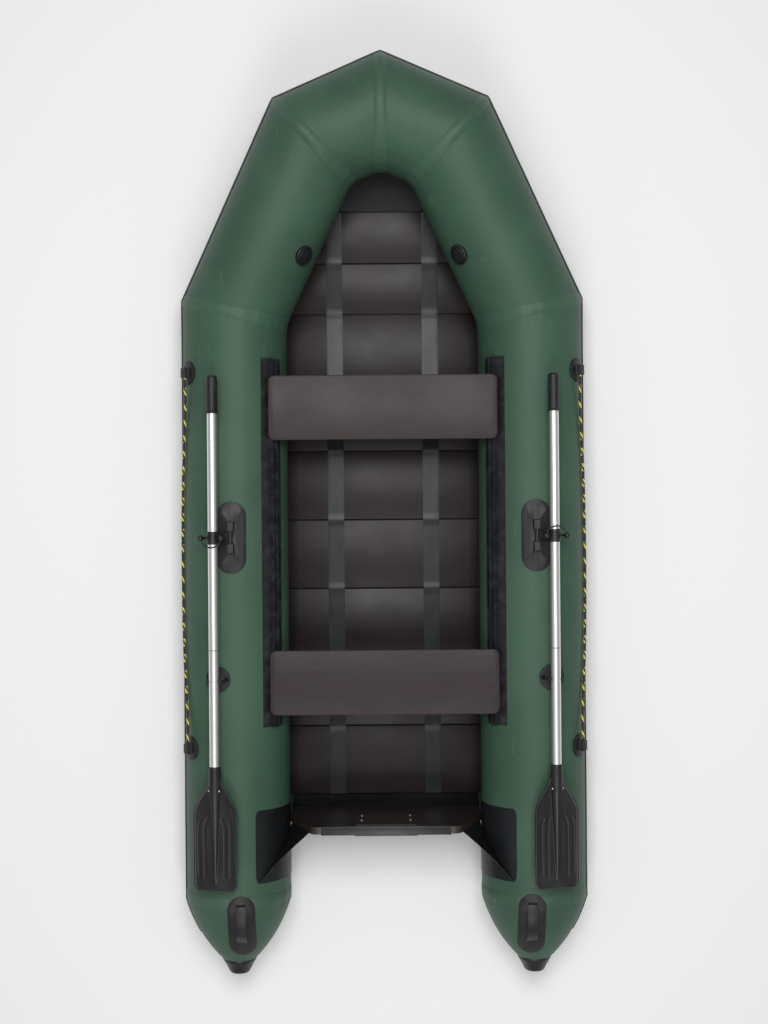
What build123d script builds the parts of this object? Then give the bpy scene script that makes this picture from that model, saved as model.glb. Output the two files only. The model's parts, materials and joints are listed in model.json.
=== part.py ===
from build123d import *
import math
import os

# Inflatable motor dinghy with a slatted floor.  Millimetres, +Z up, bow towards +Y.
# The origin is at the bottom centre of the whole boat, on the surface it stands on.
# Everything that comes in pairs is made on the starboard side (+X) and mirrored.

# ---- hull ----
overall_length = 3274.0
tube_spacing = 1064.0        # between the axes of the two side tubes
tube_radius = 187.0
fabric = 1.0                 # wall of the tubes and the bottom sheet
bow_angle = 25.9             # plan angle of the oblique bow tubes, from the keel line
nose_angle = 22.6            # plan angle of the nose tubes, from the beam
bow_rise = 11.0              # upward tilt of everything ahead of the knees
bow_tube_length = 668.0      # along the axis, from the knee to the knuckle
cone_length = 219.0
cone_end_radius = 58.0
cone_bulge = 16.0            # how far the cone's side stands proud of a straight line
cap_length = 50.0
cap_end_radius = 34.0
cap_wall = 3.0
tape_width = 44.0
tape_thickness = 0.6
tape_end = 4.0               # above the bottom fabric
strake_height = 72.0
strake_thickness = 6.0
strake_on_cone = 110.0       # how far the rub strake runs along the stern cone
sheet_under_tube = 25.0      # bottom fabric glued on beyond the tube's lowest line
small_gap = 0.3              # between pieces that only rest near each other
running_gap = 0.06           # radial, between a pin or shaft and its hole

# ---- floor ----
board_thickness = 12.0
board_seam = 4.0
board_pitch = 256.0
bow_board_pitch = 188.0
flat_board_count = 7
bow_board_count = 2
board_side_gap = 4.0
strap_width = 60.0
strap_thickness = 0.9
strap_spacing = 355.0

# ---- transom ----
sill_reach = 37.94424         # from the transom's front to the first floor board
transom_thickness = 25.0
transom_top = 405.0
transom_top_width = 514.0
transom_corner = 30.0
trim_wall = 3.0
trim_leg = 8.0
motor_plate_width = 220.0
outer_plate_height = 190.0
outer_plate_thickness = 9.0
inner_plate_height = 175.0
inner_plate_thickness = 6.0
plate_top_gap = 4.0          # below the edge trim's legs
bolt_radius = 3.0
bolt_head_radius = 7.0
bolt_head_height = 3.0
bolt_spacing_x = 172.0
bolt_spacing_z = 76.0
bolt_hole_gap = 0.3
sill_height = 76.0
sill_width = 690.0
sill_thickness = 1.2
holder_thickness = 1.2
holder_patch_length = 255.0
holder_patch_ahead = 48.0    # of the transom's front
holder_patch_high = 24.0     # degrees inboard from the tube's top
holder_patch_low = 94.0
holder_flap_width = 55.0
holder_reach = 190.0         # of the web, aft of the transom

# ---- seats ----
rail_angle = 48.0            # inboard from the tube's top
rail_front = 562.0
rail_back = -734.0
rail_base_width = 90.0
rail_base_thickness = 3.0
track_width = 28.0
track_height = 13.0
slot_width = 16.0
slot_height = 5.5
slot_floor = 4.0
slot_mouth = 6.0
seat_overhang = 11.88264     # past the outer edge of the runners
seat_width = 226.0
seat_thickness = 12.0
seat_corner = 22.0
seat_edge = 2.5
seat_height_gap = 3.0        # above the highest corner of the rail
front_seat_y = 386.0
rear_seat_y = -579.0
runner_length = 190.0
runner_foot = 34.0
slide_gap = 0.3

# ---- rowing gear ----
oarlock_y = -67.0
oar_angle = 13.3             # outboard from the tube's top
oar_height = 60.6            # from the tube's surface to the shaft's axis
shaft_radius = 17.0
shaft_wall = 1.5
oar_front = 492.0
oar_back = -1283.0
shaft_joint_y = -454.0
grip_length = 130.0
grip_wall = 2.0
grip_collar_rise = 4.0       # above the grip
grip_collar_length = 6.0
oar_collar_wall = 3.5
oar_collar_length = 44.0
blade_length = 429.0
blade_width = 160.0
blade_thickness = 5.0
blade_socket_wall = 4.5
blade_socket_length = 95.0
shoulder_length = 150.0
blade_corner = 26.0
pad_length = 250.0
pad_width = 104.0
pad_thickness = 5.5
block_length = 35.0
block_width = 24.0
block_gap = 41.0
axle_height = 23.0           # of the axle's centre above the tube's surface
axle_radius = 5.0
sleeve_radius = 7.5
plate_clearance = 5.0        # between the bracket and the pad under it
plate_thickness = 8.5
plate_radius = 15.0
fork_pin_radius = 5.0
fork_rod_radius = 4.5
fork_radius = 33.0
horn_rise = 22.0
horn_spread = 38.0
ball_radius = 11.0
ring_radius = 2.4
ring_offset = 33.0
rib_width = 4.0
rib_height = 9.0

# ---- oar rests ----
rest_y = -562.0
rest_angle = 15.6
rest_radius = 45.0
rest_thickness = 6.0
prong_radius = 3.5
prong_ball_radius = 6.0

# ---- deck gear ----
line_radius = 5.0
line_holder_angle = 55.0     # outboard from the tube's top
front_holder_y = 515.0
rear_holder_y = -812.0
holder_radius = 41.0
lug_length = 36.0
lug_width = 26.0
lug_height = 22.0
eye_depth = 22.0
handle_pad_length = 232.0
handle_pad_width = 96.0
handle_pad_thickness = 3.5
handle_inboard = 24.0
handle_behind_seam = 66.0
grip_strap_width = 36.0
grip_strap_thickness = 4.0
grip_strap_length = 170.0
grip_strap_rise = 34.0

# ---- valves ----
valve_along = 298.0          # from the knee, along the bow tube's axis
valve_angle = 50.0           # inboard from the tube's top
valve_flange_radius = 36.0
valve_rim = 9.0
valve_barrel_radius = 21.0
valve_bore_radius = 16.0
valve_depth = 30.0
valve_recess = 7.0
valve_web = 4.0
valve_cap_radius = 26.0
valve_plug_radius = 14.0
stem_radius = 3.0
stem_head_radius = 14.0
stem_button_radius = 8.0
stem_travel = 5.0            # how far the stem can be pressed in
spring_radius = 5.6
spring_wire = 0.8

# ---- places worked out from the sizes above ----
tube_x = tube_spacing / 2
tube_z = tube_radius + fabric
strake_radius = tube_radius + tape_thickness + strake_thickness
bow_rad = math.radians(bow_angle)
nose_rad = math.radians(nose_angle)
rise_rad = math.radians(bow_rise)
knuckle_x = tube_x - bow_tube_length * math.sin(bow_rad)
knuckle_ahead = bow_tube_length * math.cos(bow_rad)
apex_ahead = knuckle_ahead + knuckle_x * math.tan(nose_rad)
nose_section = math.hypot(math.cos(rise_rad) / math.cos(nose_rad), math.sin(rise_rad))
bow_reach = apex_ahead * math.cos(rise_rad) + strake_radius * nose_section
knee_y = overall_length / 2 - bow_reach
cone_front_y = cone_length + cap_length - overall_length / 2
cone_back_y = cone_front_y - cone_length
fold_y = knee_y + tube_z * math.tan(rise_rad / 2)
level_fold_y = 2 * knee_y - fold_y      # the same fold, on the bow before it is tilted
floor_back_y = fold_y - flat_board_count * board_pitch
transom_front_y = floor_back_y - sill_reach
transom_back_y = transom_front_y - transom_thickness
holder_patch_front = transom_front_y + holder_patch_ahead
handle_y = cone_front_y - handle_behind_seam
floor_top = fabric + board_thickness
grip_radius = shaft_radius + grip_wall
grip_collar_radius = grip_radius + grip_collar_rise
oar_collar_radius = shaft_radius + oar_collar_wall
blade_socket_radius = shaft_radius + blade_socket_wall
prong_spacing = 2 * (shaft_radius + prong_ball_radius)

bow_tilt = Pos(0, knee_y, tube_z) * Rot(bow_rise, 0, 0) * Pos(0, -knee_y, -tube_z)


def tilted(x, y, z):
    """A point of the level bow, after the bow is tilted up about the knees."""
    ahead = y - knee_y
    up = z - tube_z
    new_y = knee_y + ahead * math.cos(rise_rad) - up * math.sin(rise_rad)
    return Vector(x, new_y, tube_z + ahead * math.sin(rise_rad) + up * math.cos(rise_rad))


# The axis of the starboard tubes: stern seam, knee, knuckle and apex.
axis_points = [
    Vector(tube_x, cone_front_y, tube_z),
    Vector(tube_x, knee_y, tube_z),
    tilted(knuckle_x, knee_y + knuckle_ahead, tube_z),
    tilted(0, knee_y + apex_ahead, tube_z),
]
runs = [(b - a).normalized() for a, b in zip(axis_points, axis_points[1:])]
mitres = [runs[0], runs[0] + runs[1], runs[1] + runs[2], Vector(-1, 0, 0)]
outward = [Vector(1, 0, 0)]
outward.append(tilted(math.cos(bow_rad), knee_y + math.sin(bow_rad), tube_z) - Vector(0, knee_y, tube_z))
outward.append(tilted(math.sin(nose_rad), knee_y + math.cos(nose_rad), tube_z) - Vector(0, knee_y, tube_z))

parts = {}


def port(shape):
    """The same piece on the port side."""
    return mirror(shape, about=Plane.YZ)


def add_pair(name, shape):
    parts[name + "_right"] = shape
    parts[name + "_left"] = port(shape)


def group(*shapes):
    """Separate solids kept together under one name."""
    solids = []
    for shape in shapes:
        solids.extend(shape.solids())
    return Compound(children=solids)


def beside(solid, origin, normal, ahead):
    """The part of a solid ahead of a plane, or behind it."""
    side = Keep.TOP if ahead else Keep.BOTTOM
    return split(solid, bisect_by=Plane(origin=origin, z_dir=normal), keep=side)


def run_frame(segment):
    start = axis_points[segment]
    end = axis_points[segment + 1]
    return Plane(origin=(start + end) / 2, x_dir=outward[segment], z_dir=runs[segment])


def run_cylinder(segment, radius):
    """A cylinder on one run of the tube's axis, long enough to pass both mitres."""
    length = (axis_points[segment + 1] - axis_points[segment]).length + 4 * tube_radius
    return run_frame(segment).location * Cylinder(radius, length)


def mitred(segment, solid):
    solid = beside(solid, axis_points[segment], mitres[segment], True)
    return beside(solid, axis_points[segment + 1], mitres[segment + 1], False)


def on_side_tube(angle, y):
    """Frame on the starboard side tube: x round the tube outboard, y ahead, z out of the surface."""
    turn = math.radians(angle)
    tangent = (math.cos(turn), 0, -math.sin(turn))
    radial = (math.sin(turn), 0, math.cos(turn))
    return Plane(origin=(tube_x, y, tube_z), x_dir=tangent, z_dir=radial)


def round_tube(angle, tangent, height):
    """X and Z of a point given round the side tube: along the tangent, and from the tube's axis."""
    turn = math.radians(angle)
    x = tube_x + tangent * math.cos(turn) + height * math.sin(turn)
    return (x, tube_z - tangent * math.sin(turn) + height * math.cos(turn))


def along_boat(points, y_from, y_to):
    """A prism along the keel line from an outline of X and Z."""
    outline = make_face(Polyline(*[(x, y_from, z) for x, z in points], close=True))
    return extrude(outline, amount=y_to - y_from, dir=(0, 1, 0))


def stadium(length, width, height):
    """An oval slab, long in Y, standing on z = 0."""
    return extrude(Rot(0, 0, 90) * SlotOverall(length, width), amount=height)


def side_band(inner, outer, y_from, y_to):
    """A round sleeve on the side tube."""
    sleeve = Cylinder(outer, y_to - y_from) - Cylinder(inner, y_to - y_from)
    return Pos(tube_x, (y_from + y_to) / 2, tube_z) * Rot(90, 0, 0) * sleeve


# ---- hull pieces ----
def make_tubes():
    shells = []
    for segment in range(3):
        shell = run_cylinder(segment, tube_radius) - run_cylinder(segment, tube_radius - fabric)
        shells.append(mitred(segment, shell))
    return shells


def cone_body(offset, extra_front):
    """Solid of the stern cone with its curved side moved out, and some of the tube ahead of it."""
    slope = math.hypot(cone_length, tube_radius - cone_end_radius)
    out = Vector(cone_length / slope, -(tube_radius - cone_end_radius) / slope)
    start = Vector(tube_radius + offset, cone_front_y)
    end = Vector(cone_end_radius, cone_back_y) + out * offset
    side = ThreePointArc(start, (start + end) / 2 + out * cone_bulge, end)
    front = cone_front_y + extra_front + 1
    rest = Polyline(start, (start.X, front), (0, front), (0, end.Y), end)
    spun = revolve(make_face([side] + rest.edges()), axis=Axis.Y, revolution_arc=360)
    solid = Pos(tube_x, 0, tube_z) * spun
    return beside(solid, (0, cone_front_y + extra_front, 0), (0, 1, 0), False)


def make_cone():
    outer = beside(cone_body(0, 0), (0, cone_back_y, 0), (0, 1, 0), True)
    inner = beside(cone_body(-fabric, 1), (0, cone_back_y + fabric, 0), (0, 1, 0), True)
    return outer - inner


def make_cone_cap():
    back = cone_back_y - cap_length
    outline = Polyline(
        (cone_end_radius, cone_back_y),
        (cap_end_radius, back),
        (0, back),
        (0, back + cap_wall),
        (cap_end_radius - cap_wall, back + cap_wall),
        (cone_end_radius - cap_wall, cone_back_y),
        close=True,
    )
    return Pos(tube_x, 0, tube_z) * revolve(make_face(outline), axis=Axis.Y, revolution_arc=360)


def make_bulkhead():
    """Diaphragm between the two air chambers, where the nose tubes meet."""
    inside = run_cylinder(2, tube_radius - fabric - small_gap)
    span = 4 * tube_radius
    slice_box = Pos(0, axis_points[3].Y, axis_points[3].Z) * Box(fabric, span, span)
    return inside & port(inside) & slice_box


def bottom_outline():
    """Half of the level outline of the bottom fabric, from the stern to the bow."""
    edge = sheet_under_tube
    knuckle_edge = edge / math.cos((math.pi / 2 - nose_rad - bow_rad) / 2)
    middle = (math.pi / 2 + bow_rad - nose_rad) / 2
    stern = transom_back_y - 12
    knee = (tube_x + edge, knee_y + edge * math.tan(bow_rad / 2))
    side_x = knuckle_x + knuckle_edge * math.cos(middle)
    knuckle = (side_x, knee_y + knuckle_ahead + knuckle_edge * math.sin(middle))
    apex = (0, knee_y + apex_ahead + edge / math.cos(nose_rad))
    return [(tube_x + edge, stern), knee, knuckle, apex]


def make_bottom_sheet():
    half = bottom_outline()
    outline = half + [(-x, y) for x, y in reversed(half[:-1])]
    level = extrude(make_face(Polyline(*outline, close=True)), amount=fabric)
    fold = (0, math.cos(rise_rad / 2), math.sin(rise_rad / 2))
    pivot = (0, knee_y, tube_z)
    aft = beside(level, pivot, fold, False)
    fore = beside(bow_tilt * level, pivot, fold, True)
    return aft + fore


def make_strake():
    pieces = []
    for segment in range(3):
        ring = run_cylinder(segment, strake_radius) - run_cylinder(segment, tube_radius + tape_thickness)
        length = (axis_points[segment + 1] - axis_points[segment]).length + 4 * tube_radius
        window = Pos(tube_radius, 0, 0) * Box(2 * tube_radius, strake_height, length)
        pieces.append(mitred(segment, ring & run_frame(segment).location * window))
    cone_ring = cone_body(tape_thickness + strake_thickness, 0) - cone_body(tape_thickness, 1)
    y_end = cone_front_y - strake_on_cone
    window = Box(2 * tube_radius, strake_on_cone, strake_height)
    window = Pos(tube_x + tube_radius, y_end + strake_on_cone / 2, tube_z) * window
    half = pieces[0] + pieces[1] + pieces[2] + (cone_ring & window)
    return half + port(half)


def above_sheet(segment, solid):
    """The part of a band above the line where the bottom fabric is glued over the tube."""
    height = fabric + tape_end
    if segment == 0:
        return beside(solid, (0, 0, height), (0, 0, 1), True)
    origin = tilted(0, knee_y, height)
    return beside(solid, origin, axis_points[1] - tilted(tube_x, knee_y, 0), True)


def make_tape(joint):
    """The band over one mitre; the stern one lies on the side tube alone."""
    halves = []
    origin = axis_points[joint]
    normal = mitres[joint].normalized()
    reach = tape_width / 2
    for segment, ahead in ((joint - 1, False), (joint, True)):
        if segment < 0 or segment > 2:
            continue
        ring = run_cylinder(segment, tube_radius + tape_thickness) - run_cylinder(segment, tube_radius)
        ring = beside(above_sheet(segment, ring), origin, normal, ahead)
        limit = origin + normal * (reach if ahead else -reach)
        halves.append(beside(ring, limit, normal, not ahead))
    tape = halves[0]
    for half in halves[1:]:
        tape = tape + half
    return tape


def make_tapes():
    """All the seam bands.  The nose band is two halves that meet on the bow's seam."""
    bands = [make_tape(joint) for joint in range(4)]
    return group(*bands, *[port(band) for band in bands])


# ---- floor pieces ----
def floor_half_width(height):
    """How far a level piece of this height reaches under the side tube."""
    drop = tube_radius - height
    return tube_x - math.sqrt(tube_radius**2 - drop**2) - board_side_gap


def make_flat_board(index):
    back = floor_back_y + index * board_pitch + board_seam / 2
    front = back + board_pitch - board_seam
    width = 2 * floor_half_width(board_thickness)
    board = Box(width, front - back, board_thickness)
    return Pos(0, (back + front) / 2, fabric + board_thickness / 2) * board


def make_bow_board(index):
    """A board on the rising part, cut to the line of the bow tubes."""
    back = level_fold_y + index * bow_board_pitch + board_seam / 2
    front = back + bow_board_pitch - board_seam
    inset = (tube_x - floor_half_width(board_thickness)) / math.cos(bow_rad)
    half = [tube_x - (y - knee_y) * math.tan(bow_rad) - inset for y in (back, front)]
    corners = [(-half[0], back), (half[0], back), (half[1], front), (-half[1], front)]
    board = extrude(make_face(Polyline(*corners, close=True)), amount=board_thickness)
    return bow_tilt * Pos(0, 0, fabric) * board


def make_straps():
    """Two fabric bands over all the boards, bent where the floor rises."""
    fold = (0, math.cos(rise_rad / 2), math.sin(rise_rad / 2))
    pivot = (0, knee_y, tube_z)
    front = level_fold_y + bow_board_count * bow_board_pitch
    length = front - floor_back_y + board_pitch
    band = Pos(strap_spacing / 2, front - length / 2, floor_top + strap_thickness / 2)
    band = band * Box(strap_width, length, strap_thickness)
    aft = beside(beside(band, pivot, fold, False), (0, floor_back_y, 0), (0, 1, 0), True)
    fore = beside(bow_tilt * band, pivot, fold, True)
    strap = aft + fore
    return group(strap, port(strap))


# ---- transom pieces ----
def bolt_places():
    middle = transom_top - trim_leg - plate_top_gap - inner_plate_height / 2 - 20
    places = []
    for x in (-bolt_spacing_x / 2, bolt_spacing_x / 2):
        for z in (middle - bolt_spacing_z / 2, middle + bolt_spacing_z / 2):
            places.append((x, z))
    return places


def drilled(solid):
    for x, z in bolt_places():
        hole = Rot(90, 0, 0) * Cylinder(bolt_radius + bolt_hole_gap, 6 * transom_thickness)
        solid = solid - Pos(x, transom_front_y, z) * hole
    return solid


def transom_side(z):
    """Half width of the transom at a height."""
    wide = tube_x - tube_radius - holder_thickness - small_gap
    if z <= tube_z:
        return wide
    return wide + (transom_top_width / 2 - wide) * (z - tube_z) / (transom_top - tube_z)


def make_transom():
    bottom = fabric
    wide = transom_side(bottom)
    top = transom_top_width / 2
    outline = [(-wide, bottom), (wide, bottom), (wide, tube_z), (top, transom_top)]
    outline += [(-top, transom_top), (-wide, tube_z)]
    board = along_boat(outline, transom_back_y, transom_front_y)
    corners = board.edges().filter_by(Axis.Y).group_by(Axis.Z)[-1]
    return drilled(fillet(corners, transom_corner))


def make_trim():
    width = transom_top_width - 2 * transom_corner - 4
    height = trim_leg + trim_wall
    outer = Box(width, transom_thickness + 2 * trim_wall, height)
    inner = Box(width + 2, transom_thickness, height)
    middle_y = (transom_front_y + transom_back_y) / 2
    channel = outer - Pos(0, 0, -trim_wall) * inner
    return Pos(0, middle_y, transom_top + trim_wall - height / 2) * channel


def make_motor_plates():
    top = transom_top - trim_leg - plate_top_gap
    outer = Box(motor_plate_width, outer_plate_thickness, outer_plate_height)
    outer = fillet(outer.edges().filter_by(Axis.Y), 10)
    outer = Pos(0, transom_back_y - outer_plate_thickness / 2, top - outer_plate_height / 2) * outer
    inner = Box(motor_plate_width, inner_plate_thickness, inner_plate_height)
    inner = fillet(inner.edges().filter_by(Axis.Y), 10)
    inner = Pos(0, transom_front_y + inner_plate_thickness / 2, top - inner_plate_height / 2) * inner
    outer = drilled(outer)
    for x, z in bolt_places():
        outer = outer - bolt_head(x, z, transom_back_y - outer_plate_thickness, 1, bolt_hole_gap)
    return group(outer, drilled(inner))


def bolt_head(x, z, face_y, ahead, gap):
    """A round head that stands on a face, or is sunk into one, on its side towards the bow."""
    height = bolt_head_height + gap
    return Pos(x, face_y + ahead * height / 2, z) * Rot(90, 0, 0) * Cylinder(bolt_head_radius + gap, height)


def make_bolts():
    """The heads stand on the inner plate; aft they are flush, so that a motor's bracket lies flat."""
    front = transom_front_y + inner_plate_thickness
    back = transom_back_y - outer_plate_thickness
    bolts = []
    for x, z in bolt_places():
        shank = Pos(x, (front + back) / 2, z) * Rot(90, 0, 0) * Cylinder(bolt_radius, front - back)
        bolts.append(shank + bolt_head(x, z, front, 1, 0) + bolt_head(x, z, back, 1, 0))
    return group(*bolts)


def make_sill():
    """Fabric that curves up from the bottom sheet on to the front of the transom."""
    reach = floor_back_y - transom_front_y
    outer = (reach**2 + sill_height**2) / (2 * reach)
    inner = outer - sill_thickness
    sweep_angle = math.asin(sill_height / outer)
    centre = (transom_front_y + outer, fabric + sill_height)

    def at(radius, share):
        turn = sweep_angle * share
        return (0, centre[0] - radius * math.cos(turn), centre[1] - radius * math.sin(turn))

    back = ThreePointArc(at(outer, 0), at(outer, 0.5), at(outer, 1))
    front = ThreePointArc(at(inner, 0), at(inner, 0.5), at(inner, 1))
    face = make_face([back, front, Line(back @ 0, front @ 0), Line(back @ 1, front @ 1)])
    half = extrude(face, amount=sill_width / 2, dir=(1, 0, 0))
    return half + port(half)


def make_transom_holder():
    """Patch on the tube, web out to the transom and flap on the transom's aft face."""
    middle = math.radians((holder_patch_high + holder_patch_low) / 2)
    spread = math.radians(holder_patch_low - holder_patch_high) / 2
    sleeve = side_band(tube_radius, tube_radius + holder_thickness, holder_patch_front - holder_patch_length,
                       holder_patch_front)
    reach = 1.4 * tube_radius
    wedge = Polyline(
        (0, 0),
        (-reach * math.sin(middle - spread), reach * math.cos(middle - spread)),
        (-reach * math.sin(middle), reach * math.cos(middle)),
        (-reach * math.sin(middle + spread), reach * math.cos(middle + spread)),
        close=True,
    )
    wedge = [(tube_x + v.X, tube_z + v.Y) for v in [e @ 0 for e in wedge.edges()]]
    patch = sleeve & along_boat(wedge, holder_patch_front - holder_patch_length, holder_patch_front)
    face_y = transom_back_y - holder_thickness / 2
    low_z = tube_z
    high_z = transom_top - transom_corner - 8
    flap_points = [
        (transom_side(low_z) - 2, low_z),
        (transom_side(high_z) - 2, high_z),
        (transom_side(high_z) - holder_flap_width, high_z),
        (transom_side(low_z) - holder_flap_width, low_z),
    ]
    flap = along_boat(flap_points, transom_back_y - holder_thickness, transom_back_y)
    top = Vector(transom_side(high_z) - 4, face_y, high_z)
    bottom = Vector(transom_side(low_z) - 4, face_y, low_z)
    aft_height = math.sqrt(tube_radius**2 - (0.45 * tube_radius) ** 2)
    aft = Vector(tube_x - 0.45 * tube_radius, face_y - holder_reach, tube_z + aft_height - 6)
    deep = Vector(tube_x - 0.6 * tube_radius, face_y - 0.4 * holder_reach, tube_z)
    web_plane = Plane(origin=top, x_dir=bottom - top, z_dir=(bottom - top).cross(aft - top))
    flat = [web_plane.to_local_coords(p) for p in (top, bottom, deep, aft)]
    web = extrude(make_face(Polyline(*[(p.X, p.Y) for p in flat], close=True)), amount=holder_thickness)
    web = web_plane.location * web
    web = web - side_band(1, tube_radius, transom_back_y - 2 * holder_reach, transom_front_y)
    web = beside(web, (0, transom_back_y, 0), (0, -1, 0), True)
    return patch + web + flap


# ---- seats ----
def make_rail():
    base = tube_radius + rail_base_thickness
    sleeve = side_band(tube_radius, base, rail_back, rail_front)
    half = rail_base_width / 2
    corners = [(-half, 0.6 * tube_radius), (half, 0.6 * tube_radius), (half, base + 1), (-half, base + 1)]
    window = [round_tube(-rail_angle, t, r) for t, r in corners]
    strip = sleeve & along_boat(window, rail_back, rail_front)
    wide = track_width / 2
    slot = slot_width / 2
    mouth = slot_mouth / 2
    low = tube_radius + rail_base_thickness - 1
    top = tube_radius + rail_base_thickness + track_height
    floor = tube_radius + rail_base_thickness + slot_floor
    roof = floor + slot_height
    track = [(-wide, low), (wide, low), (wide, top), (mouth, top), (mouth, roof), (slot, roof), (slot, floor)]
    track += [(-slot, floor), (-slot, roof), (-mouth, roof), (-mouth, top), (-wide, top)]
    bar = along_boat([round_tube(-rail_angle, t, r) for t, r in track], rail_back, rail_front)
    return strip + bar


def seat_underside():
    top = tube_radius + rail_base_thickness + track_height
    return round_tube(-rail_angle, track_width / 2, top)[1] + seat_height_gap


def runner_corner():
    """X and Z of the runner's upper outer edge, over the rail's track."""
    top = tube_radius + rail_base_thickness + track_height + slide_gap
    return round_tube(-rail_angle, track_width / 2 - 1, top)


def make_seat(y):
    """A bench across the boat, a little longer than the span of its runners."""
    seat_length = 2 * (runner_corner()[0] + seat_overhang)
    board = Box(seat_length, seat_width, seat_thickness)
    board = fillet(board.edges().filter_by(Axis.Z), seat_corner)
    board = chamfer(board.edges().group_by(Axis.Z)[-1], seat_edge)
    board = chamfer(board.edges().group_by(Axis.Z)[0], seat_edge)
    return Pos(0, y, seat_underside() + seat_thickness / 2) * board


def make_runners(y):
    """Two feet under a bench, each with a tongue in the slot of its rail."""
    slot = slot_width / 2 - slide_gap
    mouth = slot_mouth / 2 - slide_gap
    wide = track_width / 2 - 1
    floor = tube_radius + rail_base_thickness + slot_floor + slide_gap
    roof = floor + slot_height - 2 * slide_gap
    top = tube_radius + rail_base_thickness + track_height + slide_gap
    under = seat_underside()
    tongue = [(slot, floor), (slot, roof), (mouth, roof), (mouth, top), (wide, top)]
    points = [round_tube(-rail_angle, t, r) for t, r in tongue]
    outer_x = runner_corner()[0]
    points.append((outer_x, under))
    points.append((outer_x - runner_foot, under))
    points.append((outer_x - runner_foot, under - 8))
    rest = [(-wide, top + 2), (-wide, top), (-mouth, top), (-mouth, roof), (-slot, roof), (-slot, floor)]
    points += [round_tube(-rail_angle, t, r) for t, r in rest]
    runner = along_boat(points, y - runner_length / 2, y + runner_length / 2)
    return group(runner, port(runner))


# ---- rowing gear ----
oar_frame = on_side_tube(oar_angle, 0)
shaft_height = tube_radius + oar_height


def on_oar(solid, y=0.0):
    """Place a piece made round z = 0 in the oar's own frame: y along the shaft, z off the tube."""
    return oar_frame.location * Pos(0, y, shaft_height) * solid


def along_y(radius, length, y):
    """A cylinder along the shaft, centred on y."""
    return Pos(0, y, 0) * Rot(90, 0, 0) * Cylinder(radius, length)


def axle_place():
    """Centre of the axle, in X and Z, on top of the tube."""
    return (tube_x, tube_z + tube_radius + axle_height)


def make_shaft():
    end = oar_back + blade_length - blade_socket_length
    front = oar_front - 4
    tubes = []
    for y_from, y_to in ((shaft_joint_y, front), (end, shaft_joint_y)):
        length = y_to - y_from
        middle = (y_from + y_to) / 2
        tube = along_y(shaft_radius, length, middle) - along_y(shaft_radius - shaft_wall, length + 2, middle)
        tubes.append(on_oar(tube))
    return group(*tubes)


def make_grip():
    back = oar_front - grip_length
    body = along_y(grip_radius, grip_length, oar_front - grip_length / 2)
    body = fillet(body.edges().sort_by(Axis.Y)[-1], 5)
    body = body + along_y(grip_collar_radius, grip_collar_length, back + grip_collar_length / 2)
    hole = grip_length - 4
    return on_oar(body - along_y(shaft_radius, hole, back + hole / 2))


def make_oar_collar():
    """Sleeve the shaft turns in, with two stubs between the fork's horns."""
    sleeve = along_y(oar_collar_radius, oar_collar_length, oarlock_y)
    stub = fork_radius - fork_rod_radius - small_gap
    sleeve = sleeve + Pos(0, oarlock_y, 0) * Rot(0, 90, 0) * Cylinder(4, 2 * stub)
    bore = along_y(shaft_radius + running_gap, oar_collar_length + 2, oarlock_y)
    return on_oar(sleeve - bore)


def make_blade():
    half = blade_width / 2
    neck = blade_socket_radius
    throat = oar_back + blade_length - 30
    shoulder = throat - shoulder_length + 30
    outline = [
        (-half, oar_back),
        (half, oar_back),
        (half, shoulder),
        (neck, throat),
        (-neck, throat),
        (-half, shoulder),
    ]
    plate = extrude(make_face(Polyline(*outline, close=True)), amount=blade_thickness)
    plate = fillet(plate.edges().filter_by(Axis.Z).group_by(Axis.Y)[0], blade_corner)
    plate = Pos(0, 0, -blade_thickness / 2) * plate
    socket_top = oar_back + blade_length
    socket = along_y(blade_socket_radius, blade_socket_length, socket_top - blade_socket_length / 2)
    spine_top = socket_top - blade_socket_length
    spine_length = spine_top - oar_back - 25
    spine = Rot(90, 0, 0) * Cone(blade_socket_radius, 5, spine_length)
    spine = Pos(0, spine_top - spine_length / 2, 0) * spine
    bore = along_y(shaft_radius, blade_socket_length, socket_top - blade_socket_length / 2)
    return on_oar(plate + socket + spine - bore)


def make_pad():
    """Oval foot on top of the tube, two pedestal blocks for the axle and their spreading ribs."""
    axle_x, axle_z = axle_place()
    top = tube_radius + pad_thickness
    span = pad_length
    slab = Pos(tube_x, oarlock_y, tube_z) * stadium(pad_length, pad_width, 2 * tube_radius)
    sleeve = side_band(tube_radius, top, oarlock_y - span, oarlock_y + span)
    foot = sleeve & slab
    hull = side_band(1, tube_radius, oarlock_y - span, oarlock_y + span)
    above = axle_z + axle_radius + 5 - (tube_z + tube_radius) + pad_thickness
    for end in (-1, 1):
        middle = oarlock_y + end * (block_gap + block_length) / 2
        block = Box(block_width, block_length, above + pad_thickness)
        block = fillet(block.edges().group_by(Axis.Z)[-1], 4)
        block_z = axle_z + axle_radius + 5 - (above + pad_thickness) / 2
        foot = foot + Pos(axle_x, middle, block_z) * block
        for side in (-1, 1):
            outer_y = oarlock_y + end * (block_gap / 2 + block_length + 32)
            inner_y = oarlock_y + end * (block_gap / 2 + block_length - 6)
            start = (axle_x + side * block_width * 0.35, inner_y)
            finish = (axle_x + side * 0.33 * pad_width, outer_y)
            rib = make_rib(start, finish)
            foot = foot + rib
    foot = foot - hull
    bore = Pos(axle_x, oarlock_y, axle_z) * Rot(90, 0, 0) * Cylinder(axle_radius, pad_length)
    inside = Box(pad_width, block_gap + 2 * block_length - 12, pad_width)
    return foot - (bore & Pos(axle_x, oarlock_y, axle_z) * inside)


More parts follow.
